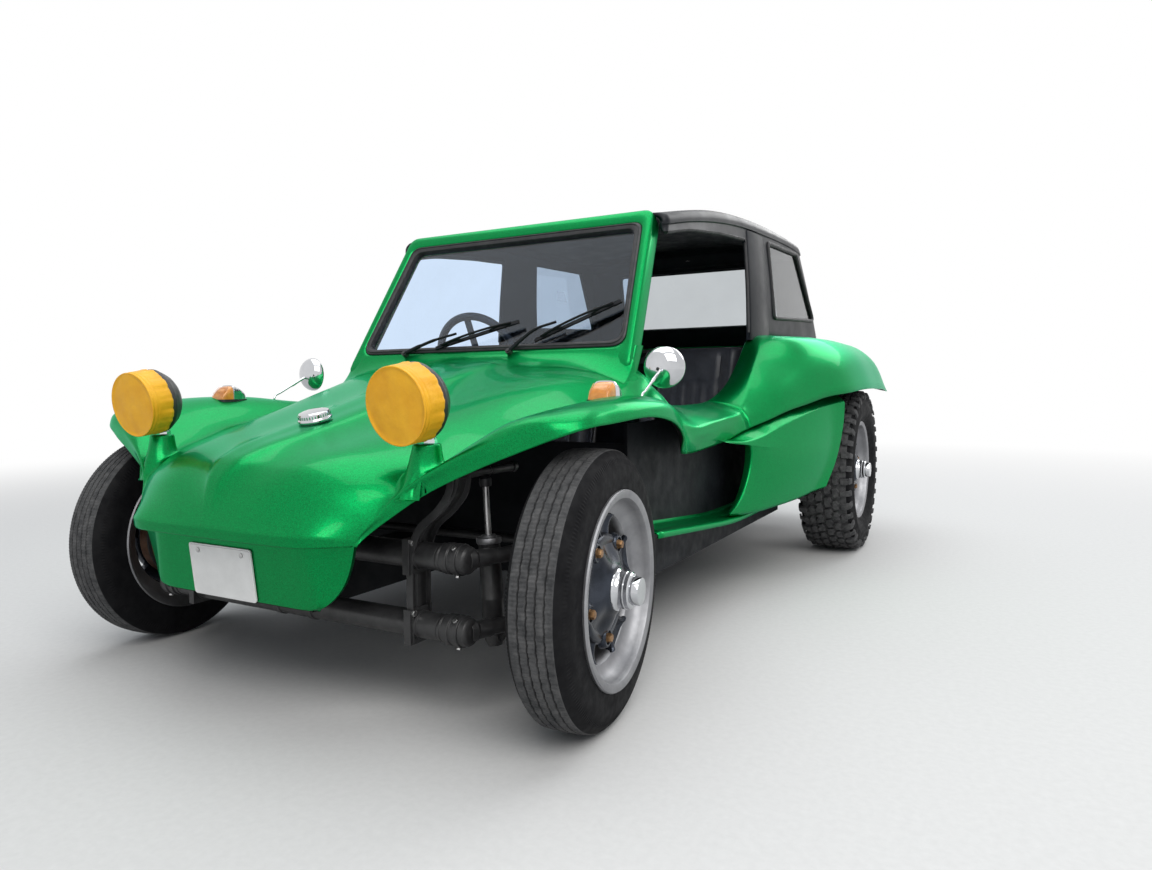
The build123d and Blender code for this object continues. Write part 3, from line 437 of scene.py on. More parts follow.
# Each row runs over the nose from the centre line to the valley beside the wing. Columns: x, y, z
# of the centre, the ridge's top edge, the ridge's foot, the shoulder, the side and the valley.
BONNET = [
    [(0, -.392, .4), (.01, -.392, .4), (.02, -.392, .4), (.165, -.39, .4), (.27, -.378, .4),
     (.342, -.321, .402)],
    [(0, -.394, .423), (.011, -.394, .423), (.022, -.394, .423), (.166, -.392, .423), (.272, -.38, .423),
     (.347, -.318, .41)],
    [(0, -.385, .474), (.012, -.385, .474), (.024, -.384, .473), (.172, -.376, .468), (.282, -.35, .458),
     (.36, -.306, .434)],
    [(0, -.369, .523), (.02, -.368, .523), (.034, -.364, .518), (.18, -.354, .512), (.3, -.322, .492),
     (.374, -.289, .46)],
    [(0, -.34, .556), (.034, -.338, .555), (.049, -.334, .548), (.195, -.324, .54), (.322, -.29, .516),
     (.39, -.266, .488)],
    [(0, -.29, .578), (.043, -.288, .577), (.059, -.286, .57), (.226, -.278, .561), (.35, -.246, .536),
     (.41, -.226, .514)],
    [(0, -.16, .612), (.054, -.16, .611), (.072, -.16, .604), (.268, -.158, .592), (.385, -.152, .567),
     (.44, -.15, .548)],
    flat(-.075, 0, .632, .06, .631, .079, .624, .289, .61, .405, .584, .46, .567),
    flat(0, 0, .652, .066, .651, .086, .644, .31, .628, .425, .601, .48, .586),
    flat(.15, 0, .692, .078, .69, .1, .683, .345, .664, .46, .63, .52, .61),
    flat(.29, 0, .729, .09, .727, .114, .72, .375, .7, .495, .66, .555, .634),
    flat(.4, 0, .757, .098, .755, .124, .748, .4, .727, .52, .68, .575, .652),
    flat(.5, 0, .781, .106, .779, .134, .772, .42, .751, .54, .706, .59, .676),
    flat(.6, 0, .806, .114, .804, .144, .798, .44, .777, .55, .735, .572, .704),
]

# The wing and flank. Columns: inner y, outer y, then x and z of the valley or cockpit edge, two
# points over the crown, the crease, two points below it, the lip's bend and the lip's edge.
WING = [
    (-.321, -.321, .342, .402, .343, .402, .344, .402, .345, .402, .346, .402, .347, .402, .348, .402, .349,
     .402),
    (-.318, -.297, .347, .41, .35, .415, .353, .419, .356, .423, .359, .426, .361, .427, .363, .427, .364,
     .424),
    (-.306, -.27, .36, .434, .368, .444, .376, .452, .383, .458, .389, .462, .394, .463, .397, .461, .399,
     .456),
    (-.289, -.238, .374, .46, .388, .474, .402, .487, .416, .496, .427, .502, .436, .504, .442, .501, .445,
     .493),
    (-.266, -.208, .39, .488, .418, .511, .45, .533, .482, .549, .508, .558, .528, .561, .541, .557, .548,
     .545),
    (-.226, -.18, .41, .514, .458, .546, .508, .577, .558, .6, .6, .611, .632, .611, .65, .605, .659, .59),
    (-.15, -.152, .44, .548, .49, .574, .542, .611, .6, .64, .65, .65, .7, .647, .718, .636, .727, .617),
    (-.075, -.118, .46, .567, .51, .59, .563, .628, .622, .654, .676, .662, .716, .659, .742, .646, .752,
     .628),
    (0, -.03, .48, .586, .53, .607, .585, .644, .64, .666, .694, .675, .734, .671, .757, .658, .766, .634),
    (.15, .15, .52, .61, .56, .634, .605, .665, .655, .682, .705, .686, .747, .68, .771, .665, .779, .64),
    (.29, .29, .555, .634, .585, .651, .62, .67, .66, .68, .702, .68, .741, .67, .765, .653, .773, .616),
    (.4, .385, .575, .652, .602, .661, .63, .667, .66, .666, .692, .66, .722, .646, .745, .622, .753, .578),
    (.5, .452, .582, .676, .608, .669, .632, .658, .656, .645, .68, .625, .702, .606, .716, .582, .721, .54),
    (.6, .57, .572, .704, .602, .68, .624, .655, .644, .63, .66, .607, .672, .584, .68, .56, .684, .522),
    (.7, .7, .556, .654, .584, .64, .614, .624, .644, .603, .668, .586, .67, .566, .667, .546, .663, .516),
    (.83, .83, .55, .645, .582, .635, .614, .621, .645, .606, .669, .594, .671, .574, .668, .552, .664, .522),
    (.95, .95, .55, .644, .582, .636, .614, .624, .646, .611, .67, .602, .672, .582, .67, .558, .666, .53),
    (1.11, 1.11, .55, .652, .58, .647, .61, .64, .64, .63, .667, .62, .676, .606, .686, .59, .694, .562),
    (1.216, 1.216, .55, .677, .575, .684, .602, .688, .63, .688, .652, .684, .686, .664, .716, .636, .738,
     .59),
    (1.303, 1.303, .55, .709, .572, .722, .596, .734, .62, .741, .64, .742, .694, .718, .742, .68, .768,
     .612),
    (1.434, 1.434, .55, .789, .568, .798, .588, .808, .606, .815, .622, .818, .702, .79, .775, .735, .808,
     .634),
    (1.558, 1.558, .55, .88, .564, .882, .578, .884, .592, .885, .606, .884, .722, .862, .806, .79, .85,
     .657),
    (1.7, 1.7, .55, .893, .566, .894, .582, .894, .6, .894, .63, .893, .77, .872, .846, .806, .9, .67),
    (1.9, 1.9, .55, .896, .568, .897, .588, .897, .61, .896, .65, .894, .788, .876, .872, .812, .924, .681),
    (2.2, 2.2, .55, .896, .568, .897, .588, .896, .61, .895, .65, .892, .79, .874, .874, .808, .926, .681),
    (2.5, 2.5, .55, .884, .568, .884, .588, .883, .61, .882, .65, .878, .783, .86, .866, .792, .916, .672),
    (2.64, 2.64, .55, .858, .568, .858, .588, .857, .61, .856, .65, .851, .768, .826, .842, .762, .902, .664),
]
FRONT_ROWS = len(BONNET)
ALONG = 6
ACROSS = 5

wing_rows = [slanted(row) for row in WING]
bonnet_rows = [[Vector(p) for p in row] for row in BONNET]
wing_skin = skin(wing_rows, ALONG, ACROSS, corners=(4,))
bonnet_skin = skin(bonnet_rows, ALONG, ACROSS, row_corners=(1,))
split = (FRONT_ROWS - 1) * ALONG


def eased(row, times):
    for _ in range(times):
        row = [row[0]] + [(row[j - 1] + row[j] * 2 + row[j + 1]) / 4
            for j in range(1, len(row) - 1)] + [row[-1]]
    return row


front_half = []
for i in range(split + 1):
    front_half.append(eased(bonnet_skin[i] + wing_skin[i][1:], 2))
flank = [eased(row, 1) for row in wing_skin[split:]]
flank[0] = front_half[-1][len(bonnet_skin[0]) - 1:]

moulding = Shape("paint", "under")
moulding.grid([mirrored(row[:0:-1]) + row for row in front_half])
moulding.build("nose_and_wings", slot="body_paint", replaces=("body_front",), sharp=50, wall=MOULDING_WALL)

side_last = (FRONT_ROWS + 3) * ALONG - split
for sign, side in SIDES:
    for shape_rows, label, node in (
        (flank[:side_last + 1], "flank", f"body_side_{side}"),
        (flank[side_last:], "rear_wing", "body_rear"),
    ):
        rows = shape_rows if sign > 0 else [mirrored(row) for row in shape_rows]
        piece = Shape("paint", "under")
        piece.grid(rows, flip=sign < 0)
        # The turned-in edge beside the seats
        edge = [[row[0], row[0] + vec(-sign * .004, 0, -.006), row[0] + vec(-sign * .004, 0, -.072)]
                for row in rows]
        piece.grid(edge, flip=sign > 0)
        piece.build(f"{label}_{side}", slot="body_paint", replaces=(node,), sharp=50, wall=MOULDING_WALL)

# The deck behind the hardtop and the tail panel
tail_y = 2.64
deck = Shape("paint", "under")
deck_rows = []
for y, z in ((2.36, .888), (2.45, .889), (2.55, .876), (2.62, .858), (2.645, .84), (2.652, .8), (2.652, .7),
        (2.646, .668)):
    half = [vec(x, y, z + (.004 * (1 - (x / .56) ** 2))) for x in (0, .14, .28, .42, .5, .552)]
    deck_rows.append(mirrored(half[:0:-1]) + half)
deck.grid(skin(deck_rows, 4, 2))
for sign in (1, -1):
    rows = []
    for s in range(13):
        t = s / 12
        base = flank[-1][min(int(t * (len(flank[-1]) - 1)), len(flank[-1]) - 1)]
        top = vec(sign * base.x, tail_y, base.z)
        foot = vec(sign * (.552 + t * .26), tail_y + .012 * (1 - t), max(.668, .668 + t * .012))
        mid = vec(top.x * .6 + foot.x * .4, 2.65, top.z * .6 + foot.z * .4)
        rows.append([top, mid, foot])
    deck.grid(skin(rows, 1, 4), flip=sign > 0)
deck.build("deck", slot="body_paint", sharp=50, wall=MOULDING_WALL)


# Lower nose panel, set back under the moulding's edge
# Outer edge of the panel by height, rounded at its lower corner
PANEL_EDGE = [(.402, .338), (.375, .329), (.345, .318), (.318, .305), (.296, .29), (.281, .276), (.271, .262),
    (.265, .25), (.262, .238)]
panel = Shape("paint", "under")
rows = []
for z, edge_x in PANEL_EDGE:
    t = (.402 - z) / .14
    front_y = -.3495 + .0155 * t
    fold_x = min(.24 + .016 * t, edge_x - .012)
    slope = .34 + .22 * t
    half = [vec(x, front_y + .0012 * (x / fold_x) ** 2, z) for x in (0, .09, .17, fold_x - .022)]
    half += [vec(fold_x - .008, front_y + .0022, z), vec(fold_x + .004, front_y + .005, z)]
    half += [vec(fold_x + (edge_x - fold_x) * f, front_y + .0035 + (edge_x - fold_x) * f * slope, z)
        for f in (.35, .7, 1)]
    half = curve(half, 4)
    rows.append(mirrored(half[:0:-1]) + half)
rows = skin(rows, 3, 1)
panel.grid(rows, flip=True)
hem = [[p, p + vec(0, .01, -.002), p + vec(0, .014, .002)] for p in rows[-1]]
panel.grid(hem, flip=True)
for sign in (1, -1):
    side_line = [row[-1 if sign > 0 else 0] for row in rows]
    panel.grid([[p, p + vec(-sign * .002, .008, 0), p + vec(-sign * .006, .014, 0)] for p in side_line],
        flip=sign > 0)
lip_line = [p for p in front_half[0] if p.x <= .3425]


def lip_y(x):
    """Where the moulding's lower edge runs at a distance from the centre."""
    for a, b in zip(lip_line, lip_line[1:]):
        if a.x <= x <= b.x:
            return a.y + (b.y - a.y) * (x - a.x) / max(b.x - a.x, 1e-9)
    return lip_line[-1].y


panel.grid([rows[0], [vec(p.x, min(p.y - .001, lip_y(abs(p.x)) + .003), .4035) for p in rows[0]]], flip=True)
panel.build("nose_panel", slot="body_paint", sharp=50, wall=PANEL_WALL)


# Lamp pods, blended into the moulding
def height_at(x, y):
    """The moulding's height over a point of the plan."""
    for row, after in zip(front_half, front_half[1:]):
        for a, b, c, d in zip(row, row[1:], after[1:], after):
            if min(a.x, d.x) > x or max(b.x, c.x) < x or min(a.y, b.y) > y or max(c.y, d.y) < y:
                continue
            for p, q, r in ((a, b, c), (a, c, d)):
                area = (q.x - p.x) * (r.y - p.y) - (r.x - p.x) * (q.y - p.y)
                if abs(area) < 1e-12:
                    continue
                v = ((x - p.x) * (r.y - p.y) - (r.x - p.x) * (y - p.y)) / area
                w = ((q.x - p.x) * (y - p.y) - (x - p.x) * (q.y - p.y)) / area
                if v >= -1e-6 and w >= -1e-6 and v + w <= 1 + 1e-6:
                    return p.z + (q.z - p.z) * v + (r.z - p.z) * w
    return .49


POD_X, POD_Y, POD_Z = .43, -.196, .5965
POD_RADIUS = .0275
for sign, side in SIDES:
    pod = Shape("paint")
    columns = []
    for turn in turns(72):
        way = vec(cos(turn), sin(turn))
        ahead = max(0.0, way.dot(vec(-.42, -.91))) ** 3
        top_radius = POD_RADIUS + .004 * ahead
        reach = top_radius + .016 + .03 * ahead
        column = []
        for t in (0, .12, .24, .36, .47, .57, .66, .74, .81, .87, .92, .96, 1):
            radius = reach + (top_radius - reach) * t
            foot = height_at(POD_X + way.x * radius, POD_Y + way.y * radius) - .0012
            column.append((radius, foot + (POD_Z - .005 - foot) * t ** (3.4 - .8 * ahead)))
        column += [(top_radius - .0004, POD_Z - .0028), (top_radius - .0016, POD_Z - .0009),
            (top_radius - .004, POD_Z), (.01, POD_Z), (.0005, POD_Z)]
        columns.append([vec(sign * (POD_X + way.x * r), POD_Y + way.y * r, z) for r, z in column])
    pod.grid(columns, close_v=True, flip=sign < 0)
    pod.build(f"lamp_pod_{side}", slot="body_paint", sharp=60)


# Windscreen surround
RAKE = radians(30.6)
SCREEN_FOOT = vec(0, .593, .8275)
SCREEN_UP = vec(0, sin(RAKE), cos(RAKE))
SCREEN_OUT = vec(0, -cos(RAKE), sin(RAKE))


def on_screen(x, up, out):
    """A point by its place across, up and in front of the windscreen's plane."""
    return vec(x, 0, 0) + SCREEN_FOOT + SCREEN_UP * up + SCREEN_OUT * out


def framed(foot_x, foot_up, top_x, top_up, radius):
    """The windscreen's outline with its four corners rounded."""
    return rounded([(-foot_x, foot_up), (foot_x, foot_up), (top_x, top_up), (-top_x, top_up)], radius, 8)


def swept(first, second, section):
    """Sections round the windscreen: (share of the way from one outline to the other, how far out)."""
    return [[on_screen(ax + (bx - ax) * f, ay + (by - ay) * f, n) for f, n in section]
            for (ax, ay), (bx, by) in zip(first, second)]


hole = framed(.495, -.012, .449, .437, [.045, .045, .036, .036])
outer = framed(.5285, -.085, .478, .485, [.02, .02, .036, .036])
section = [(0, -.034), (0, .001), (.05, .005), (.16, .007), (.5, .0085), (.8, .0075), (.93, .0035),
    (1, -.006), (1, -.044), (.94, -.052), (.7, -.055), (.3, -.054), (.06, -.048)]
surround = Shape("paint")
surround.grid(swept(hole, outer, section), close_u=True, close_v=True)
for sign in (1, -1):
    # The pillar's foot, leaning with the windscreen down into the moulding
    rows = []
    for z in (.66, .7, .74, .78, .82):
        y = SCREEN_FOOT.y + (z - SCREEN_FOOT.z) * tan(RAKE)
        ring = rounded([(.48, y + .006), (.528, y + .006), (.528, y + .058), (.48, y + .058)], .01, 4)
        rows.append([vec(sign * px, py, z) for px, py in ring])
    surround.grid(rows, close_u=True, flip=sign < 0)

# The scuttle: the frame's face sweeps forward into the bonnet
APRON_EDGE, APRON_FRONT, APRON_STEPS, APRON_HALF = .5285, .492, 12, 30
# How strongly the scuttle leaves the frame and meets the bonnet, and the run its slope is taken over
APRON_PULL, SLOPE_RUN = .085, .02
columns = []
for k in range(-APRON_HALF, APRON_HALF + 1):
    x = APRON_EDGE * sin(pi / 2 * k / APRON_HALF)
    edge_share = max(0.0, abs(x) / APRON_EDGE - .9) / .1
    top = on_screen(x, -.024 - .03 * edge_share, .0086 - .013 * edge_share ** 2)
    front = APRON_FRONT + .012 * (abs(x) / APRON_EDGE) ** 2
    level = height_at(abs(x), front)
    slope = (height_at(abs(x), front - SLOPE_RUN) - level) / SLOPE_RUN
    foot = vec(x, front, level + .0006)
    lead = vec(0, -1, slope).normalized() * APRON_PULL
    start = -SCREEN_UP * APRON_PULL
    columns.append([hermite(top, foot, start, lead, s / APRON_STEPS) for s in range(APRON_STEPS + 1)])
surround.grid(columns)
for sign, edge in ((1, columns[-1]), (-1, columns[0])):
    skirt = []
    for p in edge:
        y = min(p.y, .598)
        base_x = APRON_EDGE + .018
        base_z = height_at(base_x, y) - .001
        drop = max(p.z - base_z, 0)
        skirt.append([p, vec(p.x + sign * .0035, p.y + .002, p.z - .12 * drop),
            vec(p.x + sign * .006, p.y + .003, p.z - .6 * drop), vec(sign * base_x, y, base_z)])
    surround.grid(skirt, flip=sign < 0)
surround.build("windscreen_surround", slot="body_paint", replaces=("windscreen_frame",), sharp=45)

seal = Shape("rubber")
inner = framed(.476, .009, .427, .414, .034)
lip = [(0, -.018), (0, .004), (.2, .0075), (.55, .008), (.9, .004), (1, -.004), (1, -.018)]
seal.grid(swept(hole, inner, lip), close_v=True)
bead = [row[0] for row in swept(hole, inner, [(.34, .0085)])]
seal.tube(bead, .0022, 6, closed=True)
seal.build("windscreen_rubber", slot="seal_rubber", replaces=("windscreen_seal",), sharp=40)

screen = Shape("screen")
outline = framed(.482, .003, .433, .42, .034)
in_frame = Matrix.Translation(on_screen(0, 0, -.013)) @ Matrix.Rotation(pi / 2 - RAKE, 4, "X")
screen.prism(outline, in_frame, .005)
screen.build("windscreen_pane", slot="glass", replaces=("windscreen_glass",), sharp=40)


# Wipers
CLIP = ((-.12, .004), (-.05, .01), (.05, .01), (.12, .004))


def wiper(pivot_x, pivot_up, knee, tip, along_start, along_end):
    shape = Shape("liner", "rubber", "chassis")
    base = on_screen(pivot_x, pivot_up, .01)
    shape.tube([on_screen(pivot_x, pivot_up, -.002), on_screen(pivot_x, pivot_up, .022)], .0095, 16, mat=2)
    shape.tube([on_screen(pivot_x, pivot_up, .022), on_screen(pivot_x, pivot_up, .026)], .0055, 12, mat=2)
    mid = [(knee[0] + tip[0]) / 2, (knee[1] + tip[1]) / 2]
    before = on_screen(pivot_x + (knee[0] - pivot_x) * .5, pivot_up + (knee[1] - pivot_up) * .55, .022)
    path = [base + SCREEN_OUT * .008, before, on_screen(*knee, .026), on_screen(*mid, .024)]
    shape.tube(curve(path, 6), [.0068] * 7 + [.0052] * 6 + [.004] * 6, 8)
    start, end = on_screen(*along_start, .0125), on_screen(*along_end, .0125)
    along = (end - start).normalized()
    side = along.cross(SCREEN_OUT).normalized()
    # The blade's rubber and its backing strip
    for low, high, wide, mat in ((-.0055, .001, .0022, 1), (.001, .004, .006, 0)):
        shape.add([p + SCREEN_OUT * h + side * w for p in (start, end) for h in (low, high)
            for w in (-wide, wide)], BOX, mat)
    length = (end - start).length
    bow = [start + along * length * t + SCREEN_OUT * (.004 + .014 * sin(pi * t) ** .7)
        for t in (.08, .2, .35, .5, .65, .8, .92)]
    shape.tube(curve(bow, 3), .0038, 8)
    for t in (.22, .78):
        small = [start + along * length * (t + d) + SCREEN_OUT * h for d, h in CLIP]
        shape.tube(curve(small, 3), .0032, 6)
    return shape


for label, data in (("driver", (-.292, -.022, (-.182, .019), (-.02, .066), (-.172, -.004), (.118, .083))),
                    ("passenger", (.117, -.026, (.19, .04), (.33, .095), (.198, .01), (.455, .136)))):
    wiper(*data).build(f"wiper_{label}", slot="liner_black", replaces=("wipers",), sharp=50)


# Hardtop
ROOF = [
    # y of foot and roof, x at the foot, x and z where the side ends, x and z of the roof's edge, centre z
    (.835, .835, .58, .506, 1.192, .49, 1.23, 1.24),
    (1.0, 1.0, .576, .522, 1.226, .508, 1.264, 1.279),
    (1.2, 1.2, .572, .536, 1.257, .522, 1.299, 1.323),
    (1.45, 1.45, .57, .546, 1.282, .532, 1.325, 1.36),
    (1.75, 1.75, .576, .552, 1.295, .538, 1.34, 1.379),
    (2.05, 2.05, .588, .555, 1.303, .541, 1.344, 1.384),
    (2.25, 2.24, .596, .555, 1.303, .541, 1.342, 1.38),
    (2.42, 2.31, .601, .553, 1.299, .538, 1.336, 1.37),
    (2.515, 2.32, .602, .551, 1.296, .535, 1.328, 1.36),
]
FOOT_Z = .872
BACK_LEAN = .403
CORNER = .04


def roof_section(row):
    y_foot, y_roof, foot_x, side_x, side_z, edge_x, edge_z, centre_z = row
    half = [(foot_x, FOOT_Z), (foot_x * .52 + side_x * .48 + .004, 1.08), (side_x, side_z),
        (side_x + .005, side_z + .004), (side_x + .003, side_z + (edge_z - side_z) * .55), (edge_x, edge_z)]
    half += [(edge_x * f, edge_z + (centre_z - edge_z) * (1 - f ** 2.4)) for f in (.92, .76, .5, .25, 0)]
    return [vec(x, y_foot + (y_roof - y_foot) * (z - FOOT_Z) / (centre_z - FOOT_Z), z) for x, z in half]


half_rows = skin([roof_section(row) for row in ROOF], 4, 4, corners=(2, 3))
# Round the corner into the leaning back panel
last = half_rows[-1]
for k in range(1, 7):
    turn = pi / 2 * k / 6
    inset, reach = CORNER * (1 - cos(turn)), CORNER * sin(turn)
    row = []
    for p in last:
        share = min(max((p.z - 1.25) / .1, 0), 1)
        top = min(max((p.z - 1.29) / .05, 0), 1)
        row.append(vec(max(p.x - inset * (1 - top * .55), 0) if p.x > 0 else 0,
            p.y + reach * (1 - share * .25), p.z - inset * top))
    half_rows.append(row)
shell = Shape("hardtop", "liner")
shell.grid([mirrored(row[:-1]) + row[::-1] for row in half_rows])
back_half = half_rows[-1]
shell.grid([[vec(p.x * f, p.y, p.z) for f in (-1, -.75, -.5, -.25, 0, .25, .5, .75, 1)]
    for p in back_half[:-1]], flip=True)
shell_obj = shell.build("hardtop_shell", slot="hardtop_black", replaces=("hardtop",), sharp=38, wall=.012)


def cutter(outline, place, depth):
    shape = Shape("liner")
    shape.prism(outline, place, depth)
    mesh = raw_mesh("cutter", shape.verts, shape.faces)
    bm = bmesh.new()
    bm.from_mesh(mesh)
    bmesh.ops.recalc_face_normals(bm, faces=bm.faces)
    bm.to_mesh(mesh)
    bm.free()
    return put("cutter", mesh)


def cut(obj, cutters):
    """Cuts openings into a piece and keeps the result as its mesh."""
    for tool in cutters:
        mod = obj.modifiers.new("cut", "BOOLEAN")
        mod.operation = "DIFFERENCE"
        mod.solver = "EXACT"
        mod.object = tool
    graph = bpy.context.evaluated_depsgraph_get()
    result = bpy.data.meshes.new_from_object(obj.evaluated_get(graph))
    obj.modifiers.clear()
    obj.data = result
    for tool in cutters:
        bpy.data.objects.remove(tool)


SIDE_PLANE = Matrix(((0, 0, 1, -.8), (1, 0, 0, 0), (0, 1, 0, 0), (0, 0, 0, 1)))
DOORWAY = rounded([(.6, .8), (1.508, .8), (1.514, .95), (1.526, 1.25), (1.27, 1.235), (1.0, 1.206),
    (.6, 1.128)], [.01, .01, .02, .03, .3, .3, .01], 6)
QUARTER = rounded([(1.826, .974), (2.45, 1.0), (2.245, 1.288), (1.798, 1.276)], .02, 5)
BACK_PLANE = Matrix(((1, 0, 0, 0), (0, 0, 1, 2.2), (0, 1, 0, 0), (0, 0, 0, 1)))
REAR_WINDOW = rounded([(-.42, .992), (.42, .992), (.395, 1.27), (-.395, 1.27)], .03, 5)
cut(shell_obj, [cutter(*hole) for hole in (
    (DOORWAY, SIDE_PLANE, 1.6), (QUARTER, SIDE_PLANE, 1.6), (REAR_WINDOW, BACK_PLANE, .6))])


def side_x(y, z):
    """Where the hardtop's side stands at a height."""
    for first, second in zip(ROOF, ROOF[1:]):
        if y <= second[0] or second is ROOF[-1]:
            share = min(max((y - first[0]) / (second[0] - first[0]), 0), 1)
            foot, top, top_z = (first[k] + (second[k] - first[k]) * share for k in (2, 3, 4))
            level = (z - FOOT_Z) / (top_z - FOOT_Z)
            return foot + (top - foot) * level + .004 * sin(pi * min(max(level, 0), 1))


def back_y(z):
    """Where the hardtop's leaning back stands at a height."""
    return 2.555 - BACK_LEAN * (z - FOOT_Z)


DOOR_TOP = [(.86, 1.178), (1.0, 1.206), (1.15, 1.223), (1.3, 1.237), (1.42, 1.244), (1.515, 1.25)]
trim = Shape("rubber")
for sign in (1, -1):
    # Rubber round the quarter window, along the top of the doorway and down its post
    path = [vec(sign * (side_x(y, z) + .001), y, z) for y, z in QUARTER]
    trim.tube(path, .0085, 8, closed=True)
    strip = curve([vec(sign * (side_x(y, z) - .008), y, z) for y, z in DOOR_TOP], 5)
    trim.tube(strip, .009, 8)
    post = [vec(sign * (side_x(y, z) - .004), y, z) for y, z in ((1.511, .9), (1.519, 1.08), (1.526, 1.25))]
    trim.tube(post, .006, 8)
trim.tube([vec(x, back_y(z) + .002, z) for x, z in REAR_WINDOW], .009, 8, closed=True)
trim.build("hardtop_rubber", slot="seal_rubber")
pane = Shape("tint")
PANE = .004
for sign in (1, -1):
    path = [vec(sign * (side_x(y, z) - .004), y, z) for y, z in QUARTER]
    pane.slab(path, [p - vec(sign * PANE, 0, 0) for p in path])
path = [vec(x, back_y(z) - .002, z) for x, z in REAR_WINDOW]
pane.slab(path, [p - vec(0, PANE, 0) for p in path])
pane.build("hardtop_panes", slot="glass", replaces=("hardtop_glass",))

# The broad post behind the doorway, with its folded edge
post = Shape("hardtop")
for sign in (1, -1):
    rows = []
    for z, y0, y1 in ((.872, 1.514, 1.752), (1.0, 1.516, 1.748), (1.12, 1.521, 1.742), (1.24, 1.527, 1.734),
            (1.285, 1.529, 1.73)):
        line = [(y0, -.012), (y0 + .004, .003), (y0 + .012, .006), ((y0 + y1) / 2, .01), (y1 - .012, .006),
            (y1 - .004, .003), (y1, -.012)]
        rows.append([vec(sign * (side_x(y, z) + n), y, z) for y, n in line])
    post.grid(skin(rows, 3, 1), flip=sign < 0)
post.build("hardtop_post", slot="hardtop_black", sharp=35)


# Side pods and sill flanges
POD_FRONT = [(.687, .885, .532), (.708, .985, .518), (.721, 1.05, .509), (.7225, 1.055, .49),
    (.722, 1.055, .47), (.717, 1.034, .408), (.705, .972, .336), (.694, .921, .307)]
POD_TOP = [(.687, .885, .532), (.724, 1.065, .526), (.775, 1.312, .568), (.828, 1.571, .611),
    (.862, 1.74, .628)]
POD_BOTTOM = [(.694, .921, .307), (.728, 1.08, .297), (.762, 1.24, .3), (.795, 1.4, .307),
    (.829, 1.577, .325)]
POD_REAR = [(.862, 1.74, .628), (.861, 1.728, .56), (.857, 1.712, .507), (.847, 1.663, .416),
    (.829, 1.577, .325)]


def along(points, t):
    """The point at a share of the way along a run of points."""
    line = [Vector(p) for p in points]
    lengths = [(b - a).length for a, b in zip(line, line[1:])]
    want = t * sum(lengths)
    for a, b, length in zip(line, line[1:], lengths):
        if want <= length:
            return a + (b - a) * want / length
        want -= length
    return line[-1]


def spaced(points, count):
    """Points at even steps along a smooth curve."""
    return [along(curve(points, 6), k / count) for k in range(count + 1)]


